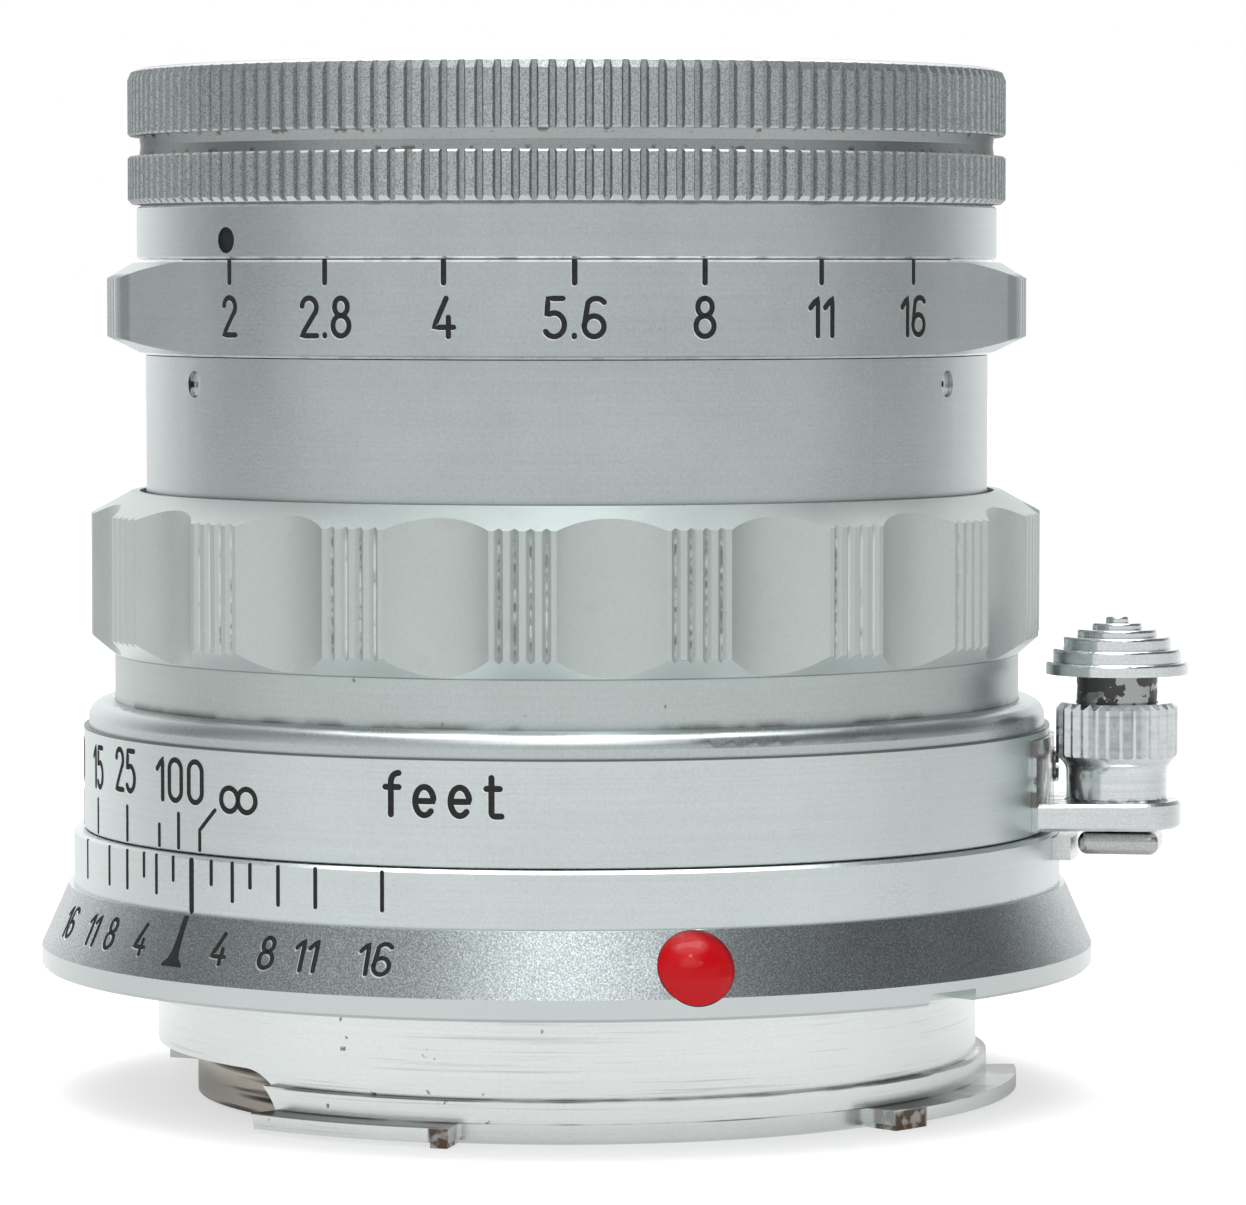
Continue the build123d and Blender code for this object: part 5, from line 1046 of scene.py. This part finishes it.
index_foot = bmesh.new()
for (low, low_half), (high, high_half) in zip(FOOT_HALF_WIDTHS, FOOT_HALF_WIDTHS[1:]):
    outline = [(-low_half, low), (0, low), (low_half, low),
               (high_half, high), (0, high), (-high_half, high)]
    upper, lower = (
        [index_foot.verts.new(cone_skin.point(0, INDEX_FOOT, x, y, lift)) for x, y in outline]
        for lift in (PAINT_LIFT, -PAINT_DEPTH))
    index_foot.faces.new(upper)
    index_foot.faces.new(lower[::-1])
    for corner in range(len(outline)):
        index_foot.faces.new((upper[corner - 1], upper[corner], lower[corner], lower[corner - 1]))
painted("index_foot", index_foot, "mount", ink)


# %% [markdown]
# ## Table and backdrop
#
# A pale table carries a soft shadow. To the camera the table and the room behind it are plain white.
# To whatever the chrome mirrors, the table glows as painted light, brightest behind the lens and
# dimmest at its sides, as the room does. Light Path tells those rays apart from the ones that light
# the lens, so the background can be white without flooding the object.

# %% Where the camera looks from
CAMERA_AZIMUTH = 46.2
BEHIND = (-sin(radians(CAMERA_AZIMUTH)), cos(radians(CAMERA_AZIMUTH)), 0.0)
RIGHT = (cos(radians(CAMERA_AZIMUTH)), sin(radians(CAMERA_AZIMUTH)), 0.0)


def towards(finish, direction, way):
    """How far a direction points one way: 1 along it, 0 across it, -1 against it."""
    sockets = {0: direction, 1: way}
    return finish.node("ShaderNodeVectorMath", sockets, out="Value", operation="DOT_PRODUCT")


def around(finish, direction, front, sides, back):
    """Light of the room at eye level: towards the camera, at the sides, and behind the lens."""
    facing = towards(finish, direction, BEHIND)
    behind = finish.ramp(facing, 0.25, 0.95, sides, back)
    return behind + finish.ramp(facing, -0.55, 0.10, front - sides, 0.0)


# %% The table
table = Finish("white table", Roughness=0.9)
light_path = table.tree.nodes.new("ShaderNodeLightPath")
seen = Channel(table, light_path.outputs["Is Camera Ray"])
mirrored = Channel(table, light_path.outputs["Is Glossy Ray"])
through = Channel(table, light_path.outputs["Is Transmission Ray"])
place = table.place()
shade = table.noise(place, 0.02, 2.0)
pale = table.blend(shade, (0.86, 0.86, 0.86), (0.89, 0.89, 0.89))
table.feed("Base Color", table.blend(mirrored, pale, (0.52, 0.52, 0.52)))
glow = table.tree.nodes.new("ShaderNodeEmission")
glow.inputs["Strength"].default_value = 1.3
join = table.tree.nodes.new("ShaderNodeMixShader")
flat = place * (1, 1, 0)
distance = table.node("ShaderNodeVectorMath", {0: flat}, out="Value", operation="LENGTH")
bearing = table.node("ShaderNodeVectorMath", {0: flat}, operation="NORMALIZE")
# For mirrored rays the table glows as painted light, brighter behind the lens than at its sides.
share = (seen * table.ramp(distance, 30, 150, 0.45, 0.85)
         + mirrored * around(table, bearing, front=0.36, sides=0.15, back=0.60) + through * 0.7)
table.tree.links.new(share.socket, join.inputs[0])
table.tree.links.new(table.shader.outputs[0], join.inputs[1])
table.tree.links.new(glow.outputs[0], join.inputs[2])
table.tree.links.new(join.outputs[0], table.tree.nodes["Material Output"].inputs["Surface"])

TABLE_SIZE = 2.4
mesh = bpy.data.meshes.new("table")
half = TABLE_SIZE / 2
level = lens_box[0][2]
corners = [(-half, -half, level), (half, -half, level), (half, half, level), (-half, half, level)]
mesh.from_pydata(corners, [], [(0, 1, 2, 3)])
table_top = bpy.data.objects.new("table", mesh)
bpy.context.scene.collection.objects.link(table_top)
mesh.materials.append(table.material)


# %% [markdown]
# ## The room
#
# Chrome has no look of its own: it shows the room. Here the room is a white tent with dark flags at
# both sides. It is brightest behind the lens, which draws the pale edges of every ring, and the
# flags draw the grey bands next to those edges. Above the camera, and high up in the right-hand
# corner behind the lens, the tent is dim. The cone mirrors that, but for one soft window that makes
# the bright patch in its middle. Straight overhead a bright panel lights every bevel that faces up.

# %% World light
world = bpy.data.worlds.new("tent")
bpy.context.scene.world = world
world.use_nodes = True


class Sky(Finish):
    """The world's own nodes, used like those of a finish."""

    def __init__(self):
        self.tree = world.node_tree
        self.shader = self.tree.nodes["Background"]


sky = Sky()
direction = sky.node("ShaderNodeTexCoord", out="Generated")
rise = sky.node("ShaderNodeSeparateXYZ", {0: direction}, out="Z")
facing = towards(sky, direction, BEHIND)
aside = towards(sky, direction, RIGHT)
camera_side = sky.ramp(facing, -0.1, 0.2, 1, 0)
level_light = around(sky, direction, front=0.73, sides=0.31, back=1.25)
dim_above = sky.between(rise, 0.40, 0.88, 0.12) * camera_side
window = sky.between(rise, 0.50, 0.82, 0.12) * sky.between(aside, -0.29, 0.33, 0.20) * camera_side
dim_behind = sky.between(rise, 0.22, 0.88, 0.10) * sky.ramp(facing, 0.0, 0.4) * sky.ramp(aside, 0.2, 0.6)
dark = dim_above * sky.ramp(aside, -0.7, 0.3, 0.17, 0.72) + dim_behind * 0.58
panel = sky.ramp(rise, 0.80, 0.93) * sky.ramp(facing, -0.6, -0.1, 0.5, 1.0)
room_light = (level_light * (1.0 - dark) + window * 1.9 + panel * 2.7) * (1.0 - aside * 0.06)
path = sky.tree.nodes.new("ShaderNodeLightPath")
camera_ray = Channel(sky, path.outputs["Is Camera Ray"])
sky.feed("Strength", room_light * (1.0 - camera_ray) + camera_ray)
sky.shader.inputs["Color"].default_value = (1.0, 1.0, 1.0, 1.0)


# %% [markdown]
# ## Lamps
#
# One broad lamp overhead gives the top edges their highlight and puts the soft shadow under the
# flange. A small one, high above the camera, makes the sparks on the bead and the polished lock.

# %% Two soft lamps
def soft_lamp(name, place, size, power):
    """A square area lamp that looks at the middle of the lens. Place and size in millimetres."""
    lamp = bpy.data.lights.new(name, "AREA")
    lamp.size = size * MM
    lamp.energy = power
    holder = bpy.data.objects.new(name, lamp)
    holder.location = Vector(place) * MM
    aim = Vector((0, 0, 20 * MM)) - holder.location
    holder.rotation_euler = aim.to_track_quat("-Z", "Y").to_euler()
    bpy.context.scene.collection.objects.link(holder)


soft_lamp("overhead lamp", (-60, 60, 520), size=420, power=1.4)
FRONT_LAMP_AWAY = 330
FRONT_LAMP_HEIGHT = 470
bearing = radians(CAMERA_AZIMUTH + 4)
front_place = (FRONT_LAMP_AWAY * sin(bearing), -FRONT_LAMP_AWAY * cos(bearing), FRONT_LAMP_HEIGHT)
soft_lamp("front lamp", front_place, size=70, power=0.12)


# %% [markdown]
# ## The camera
#
# The view is level and close, from about 29 centimetres, with the eye at the height of the front
# rings. Being that close is what makes the lower rings dip so far at the front.

# %% Camera
DISTANCE = 289.4
EYE_HEIGHT = 33.2
AIM_HEIGHT = 17.2
AIM_ASIDE = 2.69
FOCAL_LENGTH = 173.9

turn = radians(CAMERA_AZIMUTH)
camera = bpy.data.cameras.new("camera")
camera.lens = FOCAL_LENGTH
camera.sensor_width = 36.0
camera.clip_start = 0.01
eye = bpy.data.objects.new("camera", camera)
eye.location = Vector((DISTANCE * sin(turn), -DISTANCE * cos(turn), EYE_HEIGHT)) * MM
target = Vector((AIM_ASIDE * cos(turn), AIM_ASIDE * sin(turn), AIM_HEIGHT)) * MM
eye.rotation_euler = (target - eye.location).to_track_quat("-Z", "Y").to_euler()
bpy.context.scene.collection.objects.link(eye)
bpy.context.scene.camera = eye
bpy.context.scene.view_settings.view_transform = "Standard"
